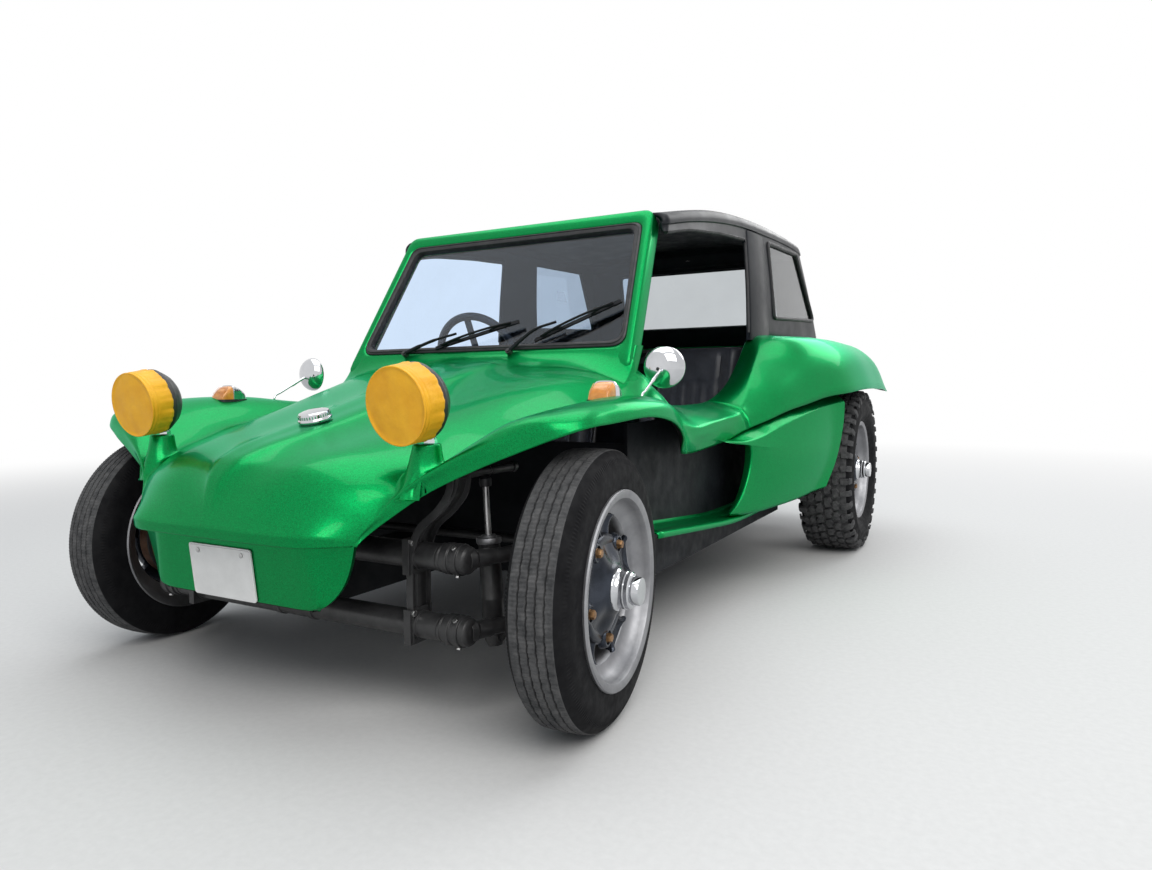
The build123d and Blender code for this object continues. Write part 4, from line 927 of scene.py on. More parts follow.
SILL = [(.607, .034), (.61, .006), (.618, .0015), (.66, 0), (.694, -.001), (.7, -.006), (.7, -.016)]
POD_ALONG, POD_DOWN = 32, 24
pod_front, pod_rear = spaced(POD_FRONT, POD_DOWN), spaced(POD_REAR, POD_DOWN)
pod_top, pod_bottom = spaced(POD_TOP, POD_ALONG), spaced(POD_BOTTOM, POD_ALONG)
for sign, side in SIDES:
    pod = Shape("paint", "under")
    face = []
    for i in range(POD_ALONG + 1):
        u = i / POD_ALONG
        row = []
        for j in range(POD_DOWN + 1):
            v = j / POD_DOWN
            ruled = pod_front[j] * (1 - u) + pod_rear[j] * u + pod_top[i] * (1 - v) + pod_bottom[i] * v
            ends = [pod_top[k] * (1 - v) + pod_bottom[k] * v for k in (0, -1)]
            p = ruled - (ends[0] * (1 - u) + ends[1] * u)
            p.x += .016 * sin(pi * v) * sin(pi * u) ** .7
            p.x += .014 * max(0.0, (u - .885) / .115) ** 1.4
            row.append(vec(sign * p.x, p.y, p.z))
        face.append(row)
    pod.grid(face, flip=sign < 0)
    # The sloping top, running up to the wing's lip, and the return along the bottom
    top = []
    for i in range(POD_ALONG + 1):
        p = face[i][0]
        lip = min((row[-1] for row in flank), key=lambda q: abs(q.y - p.y))
        t = min(1.0, i / 5)
        inside = min(abs(p.x) - .036, lip.x - .012) * t + (abs(p.x) - .03) * (1 - t)
        height = max(p.z + .006, lip.z - .0045) * t + (p.z + .006) * (1 - t)
        across_x = abs(p.x) - inside
        rise = ((0, 0), (.02, .09), (.07, .17), (.15, .25), (.55, .64), (1.0, 1.0))
        row = [vec(sign * (abs(p.x) - across_x * f), p.y, p.z + (height - p.z) * g) for f, g in rise]
        top.append(row + [vec(sign * max(inside - .03, .64), p.y, height + .004)])
    pod.grid(top, flip=sign > 0)
    low = [[p[-1], p[-1] + vec(-sign * .01, 0, -.008), p[-1] + vec(-sign * .03, 0, -.01),
            p[-1] + vec(-sign * (abs(p[-1].x) - .66), 0, -.006)] for p in face]
    pod.grid(low, flip=sign < 0)
    back = [[p, p + vec(-sign * .01, .008, 0), p + vec(-sign * .042, .006, 0)] for p in face[-1]]
    pod.grid(back, flip=sign < 0)
    # The dark inside, seen through the front opening: a near-black lining in the underside material, standing
    # partly for the moulding's underside and partly as painted shade deep in the pod
    pod.grid([[p + vec(-sign * .006, 0, 0) for p in row[4:-1]] for row in face[5:-1]], mat=1)
    pod.grid([[p + vec(0, 0, -.006) for p in row[1:]] for row in top[6:-1]], mat=1)
    pod.build(f"side_pod_shell_{side}", slot="body_paint", replaces=(f"side_pod_{side}",), sharp=45)
    rim = Shape("paint")
    edge = curve(POD_FRONT, 5)
    rows = []
    for k, p in enumerate(edge):
        broad = .008 + .018 * sin(pi * k / (len(edge) - 1)) ** .6
        lip = [(.0004, .012), (.001, .004), (.0004, -.002), (-.003, -.0042), (-.008, -.0044), (-broad, -.001),
               (-broad - .001, .004), (-broad - .001, .014)]
        rows.append([vec(sign * (p.x + dx), p.y + dy, p.z) for dx, dy in lip])
    rim.grid(rows)
    rim.build(f"side_pod_rim_{side}", slot="body_paint", sharp=60)

    sill = Shape("paint", "under")
    rows = []
    for y, z in ((.345, .347), (.5, .332), (.7, .313), (.93, .2935), (1.2, .29), (1.5, .297), (1.66, .305)):
        rows.append([vec(sign * x, y, z + dz) for x, dz in SILL])
    sill.grid(skin(rows, 4, 2), flip=sign < 0)
    sill.build(f"sill_{side}", slot="body_paint", sharp=50, wall=PANEL_WALL)


# Headlamps with their covers
def lathed(mats, profile, place, steps):
    shape = Shape(*mats)
    shape.lathe(profile, place, steps)
    return shape


FORE = Matrix(((0, 1, 0, 0), (-1, 0, 0, 0), (0, 0, 1, 0), (0, 0, 0, 1)))
LAMP_DROP, LAMP_RING = 8.0, .0615
for sign, side, toe in ((1, "left", 3.6), (-1, "right", .9)):
    # The axis points forwards and a little down, with the face's ring in front of the origin
    aim = spun("Z", -sign * toe) @ FORE @ spun("Y", LAMP_DROP)
    face_at = vec(sign * .4191, -.2767, .6732)
    lamp_at = Matrix.Translation(face_at - (aim @ vec(LAMP_RING, 0, 0))) @ aim
    cover = Shape("cover")
    rows = []
    profile = [(.006, .073), (.0075, .0785), (.0105, .0812), (.015, .0812), (.02, .0803), (.03, .0797),
        (.042, .0796), (.047, .0796), (.0486, .0789), (.0502, .0796), (.054, .079), (.056, .0782),
        (.0575, .0775), (.0592, .0786), (.0615, .0793), (.0634, .0785), (.0638, .0768), (.0626, .0754),
        (.0618, .0738), (.0624, .066), (.0634, .052), (.064, .038), (.0643, .022), (.0644, .008),
        (.0644, AXIS)]
    for turn in turns(128):
        wave = .0008 * sin(11 * turn + .6) + .0006 * sin(19 * turn + 2.1) + .0004 * sin(37 * turn)
        row = []
        for a, radius in profile:
            skirt = max(0.0, min(1.0, (.056 - a) / .05))
            face = 1.0 if a > .0605 and radius < .074 else 0.0
            bulge = wave * skirt * 1.5
            ripple = .0008 * sin(3 * turn + radius * 60 + 1.3 * sign)
            ripple += .0005 * sin(5 * turn - radius * 90)
            dish = face * ripple * (radius / .07)
            row.append(lamp_at @ vec(a + dish, (radius + bulge) * cos(turn), (radius + bulge) * sin(turn)))
        rows.append(row)
    cover.grid(rows, close_v=True)
    cover.build(f"lamp_cover_{side}", slot="cover_vinyl", replaces=("lamp_covers",), sharp=70)
    bowl = lathed(("chassis", "chrome"), [(.016, .0775), (.006, .078), (.003, .0795), (-.001, .0797),
        (-.0035, .0775), (-.012, .073), (-.024, .065), (-.034, .054), (-.041, .041), (-.045, .027),
        (-.047, .013), (-.0475, AXIS)], lamp_at, 64)
    foot_x, foot_y = sign * .431, -.188
    bowl.tube([(foot_x, foot_y, z) for z in (.592, .6, .612, .636)], [.011, .011, .0105, .01], 16, mat=0)
    bowl.tube([(foot_x, foot_y, z) for z in (.5965, .6045)], .0135, 6, mat=1)
    bowl.tube([(foot_x, foot_y, z) for z in (.6045, .6075, .609)], [.0125, .012, .009], 24, mat=1)
    bowl.build(f"lamp_bowl_{side}", slot="chassis_black", replaces=("headlamps",), sharp=45)


# Mirrors, indicators, fuel cap and plate
LENS_STEPS = 28
for sign, side in SIDES:
    at = moved(sign * .65, .5, .755) @ spun("Z", sign * 9) @ FORE
    mirror = lathed(("chrome", "mirror"), [(-.012, .052), (-.0125, .0545), (-.01, .0555), (-.004, .0555),
        (.004, .0535), (.013, .048), (.021, .0395), (.0265, .029), (.0295, .017), (.031, .006),
        (.0311, AXIS)], at, 48)
    mirror.lathe([(-.012, .052), (-.0105, .0515), (-.0102, .03), (-.01, AXIS)], at, 48, mat=1)
    path = curve(sided(sign, [(.655, .384, .648), (.655, .366, .663), (.655, .346, .675), (.655, .35, .684),
        (.6545, .372, .695), (.653, .412, .715), (.651, .452, .735), (.65, .48, .749)]), 5)
    mirror.tube(path, [.0032] * 26 + [.0046, .005] + [.0042] * (len(path) - 28), 12)
    mirror.lathe([(-.006, AXIS), (-.006, .011), (-.003, .0125), (.001, .012), (.005, .008), (.009, .005),
        (.01, .003)], moved(sign * .655, .382, .652) @ spun("Y", -90), 28)
    mirror.build(f"mirror_{side}", slot="chrome", replaces=("mirrors",), sharp=50)

    lens = Shape("amber", "chrome", "rubber")
    base_z, mid_x = .676, sign * .647

    def shell(stations, mat):
        """Half-round sections on the wing: (y, half width, height), closed at both ends."""
        rows = []
        for y, half_x, high in stations:
            row = []
            for k in range(LENS_STEPS + 1):
                turn = pi * k / LENS_STEPS
                c, s = cos(turn), sin(turn)
                row.append(vec(mid_x + half_x * copysign(abs(c) ** .45, c), y, base_z + high * s ** .42))
            rows.append(row)
        lens.grid(rows, mat)
        for row in (rows[0], rows[-1]):
            lens.add(row, [tuple(range(len(row)))], mat)

    shell([(.126, .0215, .003), (.128, .024, .01), (.134, .0255, .02), (.143, .0268, .03),
        (.154, .0276, .038), (.1625, .028, .0415), (.166, .028, .042)], 0)
    shell([(.164, .0292, .043), (.1645, .0302, .0442), (.168, .0306, .0448), (.1705, .0302, .0442),
        (.171, .029, .043)], 1)
    shell([(.17, .0286, .0425), (.18, .028, .0405), (.192, .0262, .036), (.204, .0232, .029),
        (.214, .019, .0205), (.221, .0135, .011), (.224, .007, .004)], 1)
    for k in range(11):
        x = mid_x - .022 + k * .0044
        lens.add([(x - .0009, .1262, base_z + .003), (x + .0009, .1262, base_z + .003),
            (x + .0009, .133, base_z + .0205), (x - .0009, .133, base_z + .0205),
            (x - .0009, .153, base_z + .0385), (x + .0009, .153, base_z + .0385)],
            [(0, 1, 2, 3), (3, 2, 5, 4)], 0)
    foot = [(mid_x - .03, .124), (mid_x + .03, .124), (mid_x + .0315, .172), (mid_x + .018, .224),
        (mid_x - .018, .224), (mid_x - .0315, .172)]
    lens.prism(rounded(foot, .012, 5), moved(0, 0, base_z - .008), .0095, 2)
    lens.build(f"indicator_{side}", slot="amber_lens", replaces=("indicators",), sharp=40)


cap_at = moved(0, -.089, .634) @ spun("X", 15)
cap = lathed(("chrome", "rubber"), [(0, .036), (0, .04), (.004, .0405), (.0065, .0395), (.008, .0375),
    (.009, .0372), (.016, .0372), (.02, .0355), (.022, .03), (.0232, .02), (.0238, .01), (.024, AXIS)],
    cap_at @ spun("Y", -90), 64)
for turn in turns(36):
    cap.block(.0366, .0382, -.0014, .0014, .0095, .0165, place=cap_at @ Matrix.Rotation(turn, 4, "Z"))
cap.build("fuel_filler_cap", slot="chrome", replaces=("fuel_cap",), sharp=40)

plate_at = moved(-.02, -.343, .318) @ spun("X", 90 + 6.09)
board = Shape("plate", "steel", "rubber")
outline = rounded([(-.1, -.058), (.1, -.058), (.1, .058), (-.1, .058)], .008, 5)
board.prism(outline, plate_at @ moved(0, 0, -.0015), .003)
raised = rounded([(-.096, -.054), (.096, -.054), (.096, .054), (-.096, .054)], .006, 5)
board.tube([plate_at @ vec(x, y, .0015) for x, y in raised], .0009, 6, closed=True)
for x in (-.07, .07):
    spot = plate_at @ moved(x, .043, .0015)
    board.tube([spot @ vec(0, 0, -.001), spot @ vec(0, 0, .0018), spot @ vec(0, 0, .0026)],
        [.0055, .0055, .0035], 14, mat=1)
board.build("plate_blank", slot="plate_white", replaces=("number_plate",), sharp=40)


# Wheels
def wheel_place(x, y, z, sign, steer):
    """Axis along X pointing outwards, at a wheel's centre."""
    return moved(x, y, z) @ spun("Z", steer) @ facing(sign)


# The cone's distance along the axis, a ridge's rise and the radius
FLUTES = [(.03, 0, .045), (.029, .001, .0475), (.0215, .004, .054), (.0135, .008, .064), (.007, .01, .075),
          (.003, .009, .085), (.0012, .006, .094), (.001, .003, .102), (.0005, .001, .11), (-.004, 0, .1145)]
# A spoke's share of the way outwards, half width, height and depth
SPOKE = [(0, .0205, .004, .026), (.15, .0225, .0015, .026), (.35, .0255, -.001, .026),
    (.57, .0305, -.002, .026), (.77, .0365, -.001, .026), (.9, .0425, .001, .027), (1, .05, .004, .03)]


def rim(place, lip, inner, front):
    """A dished barrel, a fluted dark centre on five broad spokes, its nuts and a chrome cap."""
    shape = Shape("alloy", "spoke", "bronze", "chrome", "rust")
    shape.lathe(shifted(lip, [(-.01, .2035), (-.004, .206), (.001, .2062), (.0045, .204), (.0047, .2005),
        (.0035, .194), (.001, .1888), (-.003, .187), (-.012, .1856), (-.024, .1815), (-.033, .174),
        (-.0375, .1655), (-.04, .156), (-.046, .1515), (-.06, .15)])
        + shifted(-inner, [(.04, .15), (.022, .18), (.008, .188), (0, .1985), (-.004, .204), (0, .2062),
        (.005, .203), (.01, .192), (.026, .184), (.044, .154)])
        + shifted(lip, [(-.062, .154), (-.044, .158), (-.036, .18), (-.016, .1925)]), place, 88, close=True)
    face = lip - .038
    hub = shifted(face, [(-.03, .06), (-.03, .108), (-.024, .114), (-.012, .1165), (-.003, .115), (.003, .11),
        (.005, .104), (.004, .096), (.001, .088), (.002, .08), (.008, .07), (.014, .062), (.016, .052),
        (.015, .044), (.006, .042), (-.03, .042)])
    shape.lathe(hub, place, 80, mat=1, close=True)
    start = radians(52 if front else 20)
    # The fluted cone between the nuts and the cap
    cone = []
    for turn in turns(120):
        ridge = .5 + .5 * cos(5 * (turn - start))
        cone.append([around(place, face + a + b * ridge, r, turn) for a, b, r in FLUTES])
    shape.grid([curve(row, 2) for row in cone], close_v=True, mat=1)
    for turn in (start + t for t in turns(5)):
        spoke = turn + radians(36)
        # The nut boss on the hub's edge
        boss = place @ Matrix.Rotation(turn, 4, "X") @ moved(0, .1025, 0)
        shape.lathe(shifted(face, [(-.006, .025), (.001, .0235), (.0075, .0205), (.0095, .0185),
            (.0095, .015), (.004, .0135), (.003, .0095), (-.008, .0095)]), boss, 28, mat=1)
        shape.lathe(shifted(face, [(.003, .0085), (.004, .011), (.0065, .0112), (.0075, .0102)]), boss, 6,
            mat=2)
        shape.lathe(shifted(face, [(.0065, .01), (.0145, .0098), (.0175, .0082), (.0178, .004),
            (.018, AXIS)]), boss, 6, mat=2)
        # The spoke: broad at the barrel, with raised edges
        rows = []
        for share, width, height, deep in SPOKE:
            r = .098 + .056 * share
            loop = []
            for w, h in ((-1, -deep), (-1, height - .003), (-.93, height), (-.8, height),
                    (-.7, height - .004), (-.45, height - .0075), (0, height - .0085), (.45, height - .0075),
                    (.7, height - .004), (.8, height), (.93, height), (1, height - .003), (1, -deep)):
                out = sqrt(max(r * r - (w * width) ** 2, 0))
                loop.append(place @ Matrix.Rotation(spoke, 4, "X") @ vec(face + h, out, w * width))
            rows.append(loop)
        shape.grid(skin(rows, 3, 1), mat=1, close_u=True)
    # The brake drum behind the hub
    drum_end = -.07 if front else -.122
    shape.lathe(shifted(face, [(-.031, AXIS), (-.031, .108), (-.036, .1155)])
        + shifted(drum_end, [(.018, .1155), (.016, .119), (0, .119), (0, AXIS)]), place, 56, mat=4)
    # The cap: a stepped chrome cup that stands out past the lip
    cap = shifted(face, [(.02, .047), (.024, .0462)]) + shifted(lip,
        [(-.006, .044), (-.003, .0405), (.001, .0385), (.009, .038), (.0105, .0392), (.013, .0392),
        (.0145, .038), (.022, .0375), (.025, .035), (.0262, .03), (.039, .0292), (.0425, .028), (.043, .0255),
        (.0425, .012), (.0425, AXIS)])
    shape.lathe(cap, place, 56, mat=3)
    return shape


def tyre(place, radius, width, rim_width, front):
    """The carcass in one turned grid, with its tread cut in for the front; the rear's lugs are laid on
    afterwards by rear_tread.
    """
    shape = Shape("tyre", "tread")
    half = width / 2
    bead = rim_width / 2 - .004
    if front:
        outer = shifted(half, [(-.0055, .1965), (0, .201), (.0013, .2055), (.0005, .212), (0, .225),
            (-.0002, .237), (-.001, .248), (-.003, .258), (-.0055, .2655), (-.007, .269), (-.0095, .2735),
            (-.014, .279), (-.019, .2838), (-.0215, .2858)])
    else:
        outer = shifted(bead, [(-.006, .1965), (0, .201), (.007, .2065), (.0095, .212),
            (.0105, .2165)]) + shifted(half, [(-.006, .232), (-.002, .25), (0, .268), (-.0006, .272),
            (-.0022, .276), (-.005, .288), (-.008, .3), (-.013, .31), (-.022, .319)])
    steps = 432 if front else 180
    rows = []
    tread_first = len(outer)
    if front:
        # Five ribs parted by four zigzag grooves
        stops = []
        for middle in (.028, .0105, -.007, -.0245):
            stops += [(middle + .0022, 0, 1), (middle + .0013, .006, 1), (middle - .0013, .006, 1),
                (middle - .0022, 0, 1)]
        edge = [(half - .0235, 0, 0), (half - .028, 0, 0)]
        crown = edge + stops + [(-a, 0, 0) for a, _, _ in reversed(edge)]
        for k, turn in enumerate(turns(steps)):
            zig = .0008 * (1 - 4 * abs((k / steps * 72) % 1 - .5))
            cut_in = k % 2
            row = [(a - (.0012 if cut_in and .256 < r < .281 else 0), r) for a, r in outer]
            for a, depth, moves in crown:
                sipe = .0011 if cut_in and not depth else 0
                base = radius - .0062 * (abs(a) / half) ** 2.4 - depth - sipe
                row.append((a + moves * zig, base))
            row += [(-a, r) for a, r in reversed(row[:len(outer)])]
            rows.append([around(place, a, r, turn) for a, r in row])
    else:
        row = outer + [(half - .034, .3235), (half - .052, .3255), (.03, .3262), (0, .3263)]
        row += [(-a, r) for a, r in reversed(row[:-1])]
        rows = [[around(place, a, r, turn) for a, r in row] for turn in turns(steps)]
    base_face = len(shape.faces)
    shape.grid(rows, close_v=True)
    count = len(rows[0])
    for i in range(steps):
        for j in range(count - 1):
            if tread_first - 1 <= j <= count - tread_first - 1:
                shape.face_mats[base_face + i * (count - 1) + j] = 1
    # Inside, so that the tyre is closed behind the rim
    shape.grid([[row[-1], row[0]] for row in rows], close_v=True)
    return shape


def lug(shape, place, outline, base_r, top_r, turn):
    """One tread block: an outline of (across, around) in metres, standing out from the carcass."""
    cx = sum(a for a, _ in outline) / len(outline)
    cs = sum(s for _, s in outline) / len(outline)
    low, mid, top = [], [], []
    for a, s in outline:
        crown = .007 * (abs(a) / .12) ** 3
        low.append(around(place, a, base_r - crown - .004, turn + s / base_r))
        mid.append(around(place, a, top_r - crown - .0012, turn + s / base_r))
        a2, s2 = a + (cx - a) * .07, s + (cs - s) * .07
        top.append(around(place, a2, top_r - crown, turn + s2 / base_r))
    count = len(outline)
    faces = band(count) + band(count, count)
    faces.append(tuple(2 * count + k for k in range(count)))
    shape.add(low + mid + top, faces, 1)


PITCHES = 40
CARCASS_R = .3262
BLOCK = [(.004, -.018), (.026, -.022), (.034, -.01), (.024, .006), (.03, .014), (.012, .02), (.003, .008)]


def rear_tread(shape, place, radius, width):
    rng = random.Random(5)
    half = width / 2
    for k, turn in enumerate(turns(PITCHES)):
        turn += rng.uniform(-.004, .004)
        step = tau * radius / PITCHES
        lug(shape, place, BLOCK, CARCASS_R, radius, turn)
        lug(shape, place, [(-a, -s - .5 * step) for a, s in BLOCK], CARCASS_R, radius, turn)
        for sign, offset in ((1, .25), (-1, .75)):
            t = turn + offset * step / radius
            late = t + .25 * step / radius
            lug(shape, place, sided(sign, [(.037, -.017), (.05, -.02), (.061, -.008), (.055, .004),
                (.06, .013), (.044, .018), (.035, .006)]), CARCASS_R, radius - .0006, t)
            long = k % 2 == 0
            outer_a = half - (.01 if long else .02)
            lug(shape, place, sided(sign, [(.065, -.018), (outer_a - .006, -.021), (outer_a, -.016),
                (outer_a, -.001), (outer_a - .006, .003), (.067, .002)]), .324, radius - .002, late)
            # The shoulder block's foot runs a little way down the sidewall
            reach = .02 if long else .008
            ledges = [(outer_a - .002, radius - .009), (half - .0068, .3185), (half - .004, .3185 - reach)]
            foot = [[around(place, sign * (a + .003), r, late + s / radius)
                for s in (-.0205, -.0185, -.0015, .001)] for a, r in ledges]
            ledges[2] = (half - .004, .3185 - reach - .004)
            back = [[around(place, sign * (a - .004), r, late + s / radius) for s in (-.022, .0025)]
                for a, r in ledges]
            for i in range(2):
                shape.add(foot[i] + foot[i + 1], [(0, 1, 5, 4), (1, 2, 6, 5), (2, 3, 7, 6)], 1)
                shape.add([foot[i][0], back[i][0], back[i + 1][0], foot[i + 1][0]], [(0, 1, 2, 3)], 1)
                shape.add([foot[i][3], back[i][1], back[i + 1][1], foot[i + 1][3]], [(0, 3, 2, 1)], 1)
            shape.add(foot[2] + [back[2][0], back[2][1]], [(0, 4, 5, 3, 2, 1)], 1)


STEER = 6.2
for sign, side in SIDES:
    for end in ("front", "rear"):
        front = end == "front"
        radius, width, half, inner = (.29, .131, .06, .08) if front else (.338, .215, .103, .063)
        centre_x, y = (.704, 0.0) if front else (.77, WHEELBASE)
        place = wheel_place(sign * centre_x, y, radius, sign, STEER if front else 0)
        body = f"wheel_{end}_{side}"
        rim(place, half, inner, front).build(f"rim_detail_{end}_{side}", body, "wheel_alloy",
            (f"rim_{end}_{side}",), sharp=32)
        seated = place @ moved((half - inner) / 2, 0, 0)
        rubber = tyre(seated, radius, width, half + inner, front)
        if not front:
            rear_tread(rubber, seated, radius, width)
        rubber.build(f"tyre_detail_{end}_{side}", body, "tyre_rubber", (f"tyre_{end}_{side}",), sharp=28)


# Front suspension
TOWER = [(.355, .17), (.355, .3), (.357, .352), (.382, .415), (.436, .462), (.462, .496), (.47, .536)]
BEAM_Y, BEAM_LOW, BEAM_HIGH = -.15, .205, .355
axle = Shape("chassis", "steel")
for z in (BEAM_LOW, BEAM_HIGH):
    across = moved(0, BEAM_Y, z)
    tube = [(.044, .0285), (.045, .031), (.061, .031), (.062, .0285), (.338, .0285), (.339, .0315),
        (.371, .0315), (.372, .0285), (.424, .0285), (.425, .026)]
    axle.lathe([(-a, r) for a, r in reversed(tube)] + tube, across, 32)
for sign in (1, -1):
    line = curve([(x, BEAM_Y, z) for x, z in TOWER], 6)
    rows = []
    for k, p in enumerate(line):
        way = (line[min(k + 1, len(line) - 1)] - line[max(k - 1, 0)]).normalized()
        out = vec(way.z, 0, -way.x)
        section = [(-.03, .013), (-.0265, .013), (-.0255, .003), (-.008, .002), (-.006, .006), (.006, .006),
            (.008, .002), (.0255, .003), (.0265, .013), (.03, .013), (.03, -.004), (-.03, -.004)]
        rows.append([vec(sign * (p.x + out.x * n), p.y + w, p.z + out.z * n) for w, n in section])
    base = axle.grid(rows, close_u=True, flip=sign > 0)
    for end in (0, len(rows) - 1):
        axle.faces.append(tuple(base + end * 12 + k for k in range(12)))
        axle.face_mats.append(0)
    pin = moved(sign * .465, -.05, .528) @ FORE
    bolt = moved(sign * .465, -.038, .528) @ FORE @ Matrix.Rotation(pi, 4, "Z")
    axle.lathe([(-.1, AXIS), (-.1, .01), (.1, .01), (.1, .013), (.112, .013), (.112, AXIS)],
               bolt @ moved(-.012, 0, 0), 20)
    axle.lathe([(-.02, AXIS), (-.02, .0095), (-.012, .0105), (-.012, .0125), (-.0118, AXIS)], pin, 6, mat=1)
    for z in (BEAM_LOW, BEAM_HIGH):
        # Clamp plate of the tube on the tower, with its two bolts
        axle.block(sign * .355 - .009, sign * .355 + .009, BEAM_Y - .036, BEAM_Y + .036, z - .038, z + .038)
        for dy, dz in ((-.026, .03), (.026, -.03)):
            head = moved(sign * .364, BEAM_Y + dy, z + dz) @ facing(sign)
            axle.lathe([(0, AXIS), (0, .0075), (.0055, .0075), (.0062, .0065), (.0062, AXIS)], head, 6, mat=1)
axle.build("front_axle_beam", slot="chassis_black", replaces=("front_beam",), sharp=30, bevel=.0008)

arms = Shape("chassis", "steel", "rubber")
for sign in (1, -1):
    for z in (BEAM_LOW, BEAM_HIGH):
        end = moved(0, BEAM_Y, z) @ Matrix.Scale(sign, 4, (1, 0, 0))
        arms.lathe([(.4255, AXIS), (.4255, .0295), (.4275, .0305), (.433, .0305), (.434, .0285), (.44, .0285),
            (.441, .033), (.456, .033), (.4575, .03), (.464, .03), (.4655, .0335), (.48, .0335), (.4815, .03),
            (.493, .029), (.498, .025), (.501, .018), (.501, AXIS)], end, 32)
        for turn in (40, 160, 280):
            nub = end @ spun("X", turn) @ moved(.4725, 0, .0335)
            arms.lathe([(0, AXIS), (0, .006), (.005, .006), (.005, AXIS)], nub @ spun("Y", -90), 6, mat=1)
        run = [(.486, BEAM_Y + .004), (.502, BEAM_Y + .034), (.524, -.07), (.545, -.016)]
        path = curve([(sign * x, y, z) for x, y in run], 7)
        arms.tube(path, [.0225] * 4 + [.019] * 6 + [.0165] * 6 + [.0175] * (len(path) - 16), 16)
        ball = moved(sign * .548, -.008, z) @ spun("Y", 90)
        arms.lathe([(-.03, AXIS), (-.03, .01), (-.026, .016), (-.016, .019), (.012, .02), (.018, .018),
            (.02, .013), (.026, .011), (.028, AXIS)], ball, 24)
        arms.lathe([(.019, .015), (.021, .0165), (.0255, .015), (.0295, .011), (.0295, AXIS)], ball, 24,
            mat=2)
    left, right = sorted((sign * .537, sign * .56))
    arms.block(left, right, -.026, .014, BEAM_LOW - .02, BEAM_HIGH + .02)
    arms.tube([(sign * .5065, -.05, BEAM_LOW), (sign * .531, -.05, BEAM_LOW)], .009, 14, mat=1)
arms.build("front_trailing_arms", slot="chassis_black", replaces=("trailing_arms",), sharp=32, bevel=.0012)

damper = Shape("chassis", "steel", "alloy", "rubber")
for sign in (1, -1):
    low, high = vec(sign * .4838, -.05, .15), vec(sign * .465, -.05, .5155)
    way = (high - low).normalized()
    turn = vec(1, 0, 0).rotation_difference(way).to_matrix().to_4x4()
    at = Matrix.Translation(low) @ turn
    damper.lathe([(0.0, AXIS), (0.0, .016), (.012, .021), (.026, .0245), (.0265, .024), (.1, .024),
        (.101, .0245), (.105, .0245), (.106, .024), (.222, .024), (.2235, AXIS)], at, 36)
    damper.lathe([(.2225, AXIS), (.2225, .0268), (.2245, .0275), (.233, .0275), (.235, .0262), (.236, .018),
        (.24, .015), (.2405, AXIS)], at, 36, mat=2)
    damper.lathe([(.24, .0066), (.348, .0066)], at, 20, mat=1)
    damper.lathe([(.345, AXIS), (.345, .012), (.352, .0135), (.362, .0135), (.3658, .01), (.366, AXIS)], at,
        24, mat=3)
    eye = moved(sign * .4838, -.05, .172) @ Matrix.Scale(sign, 4, (1, 0, 0))
    damper.lathe([(-.014, AXIS), (-.014, .015), (.018, .015), (.018, .009), (.0222, .009), (.0222, AXIS)],
        eye, 20)
damper.build("front_dampers", slot="chassis_black", replaces=("front_shocks",), sharp=34)


# Seats
PAD_STEPS = (56, 64)


def pad(half_w, length, thick, pleats, seams, crown, roll):
    """A stuffed panel: x across, y along, z out of its face. Pleats are (x, from, to); seams are y."""
    front, back = [], []
    for i in range(PAD_STEPS[1] + 1):
        v = .5 - .5 * cos(pi * (i / PAD_STEPS[1]))
        row_f, row_b = [], []
        for j in range(PAD_STEPS[0] + 1):
            u = -cos(pi * j / PAD_STEPS[0])
            corner = max(0.0, abs(u) - .8) / .2
            end = max(0.0, abs(2 * v - 1) - .86) / .14
            pull = 1 - .035 * end ** 2
            x = u * half_w * pull
            y = (v - .5) * length * (1 - .02 * corner ** 2) + .5 * length
            edge = max(0.0, 1 - abs(u) ** 9) ** .34 * max(0.0, 1 - abs(2 * v - 1) ** 11) ** .34
            body = thick * .5 * (1 + crown * (1 - u * u) * (1 - (2 * v - 1) ** 2))
            swell = roll * exp(-((abs(u) - .86) / .1) ** 2)
            dent = 0.0
            for px, lo, hi in pleats:
                if lo - .02 < v < hi + .02:
                    fade = min(1, max(0, (v - lo) / .02)) * min(1, max(0, (hi - v) / .02))
                    dent += .0075 * exp(-((x - px) / .0055) ** 2) * fade
            for s in seams:
                dent += .006 * exp(-((v - s) * length / .006) ** 2) * (1 if abs(u) < .78 else .3)
            puff = .0012 * sin(x * 61 + v * 7) * sin(v * 23 + x * 17)
            row_f.append(vec(x, y, (body + swell - dent + puff) * edge))
            row_b.append(vec(x, y, -thick * .42 * edge))
        front.append(row_f)
        back.append(row_b)
    return front, back


def seat_pad(shape, place, *data):
    """Both faces of a stuffed panel and the piping round it."""
    front, back = pad(*data)
    shape.grid([[place @ p for p in row] for row in front])
    shape.grid([[place @ p for p in row] for row in back], flip=True)
    near, far = [row[0] for row in front], [row[-1] for row in front[::-1]]
    ring = near + front[-1][1:] + far[1:] + front[0][::-1][1:-1]
    shape.tube([place @ (p + vec(0, 0, .0005)) for p in ring], .0042, 8, closed=True)


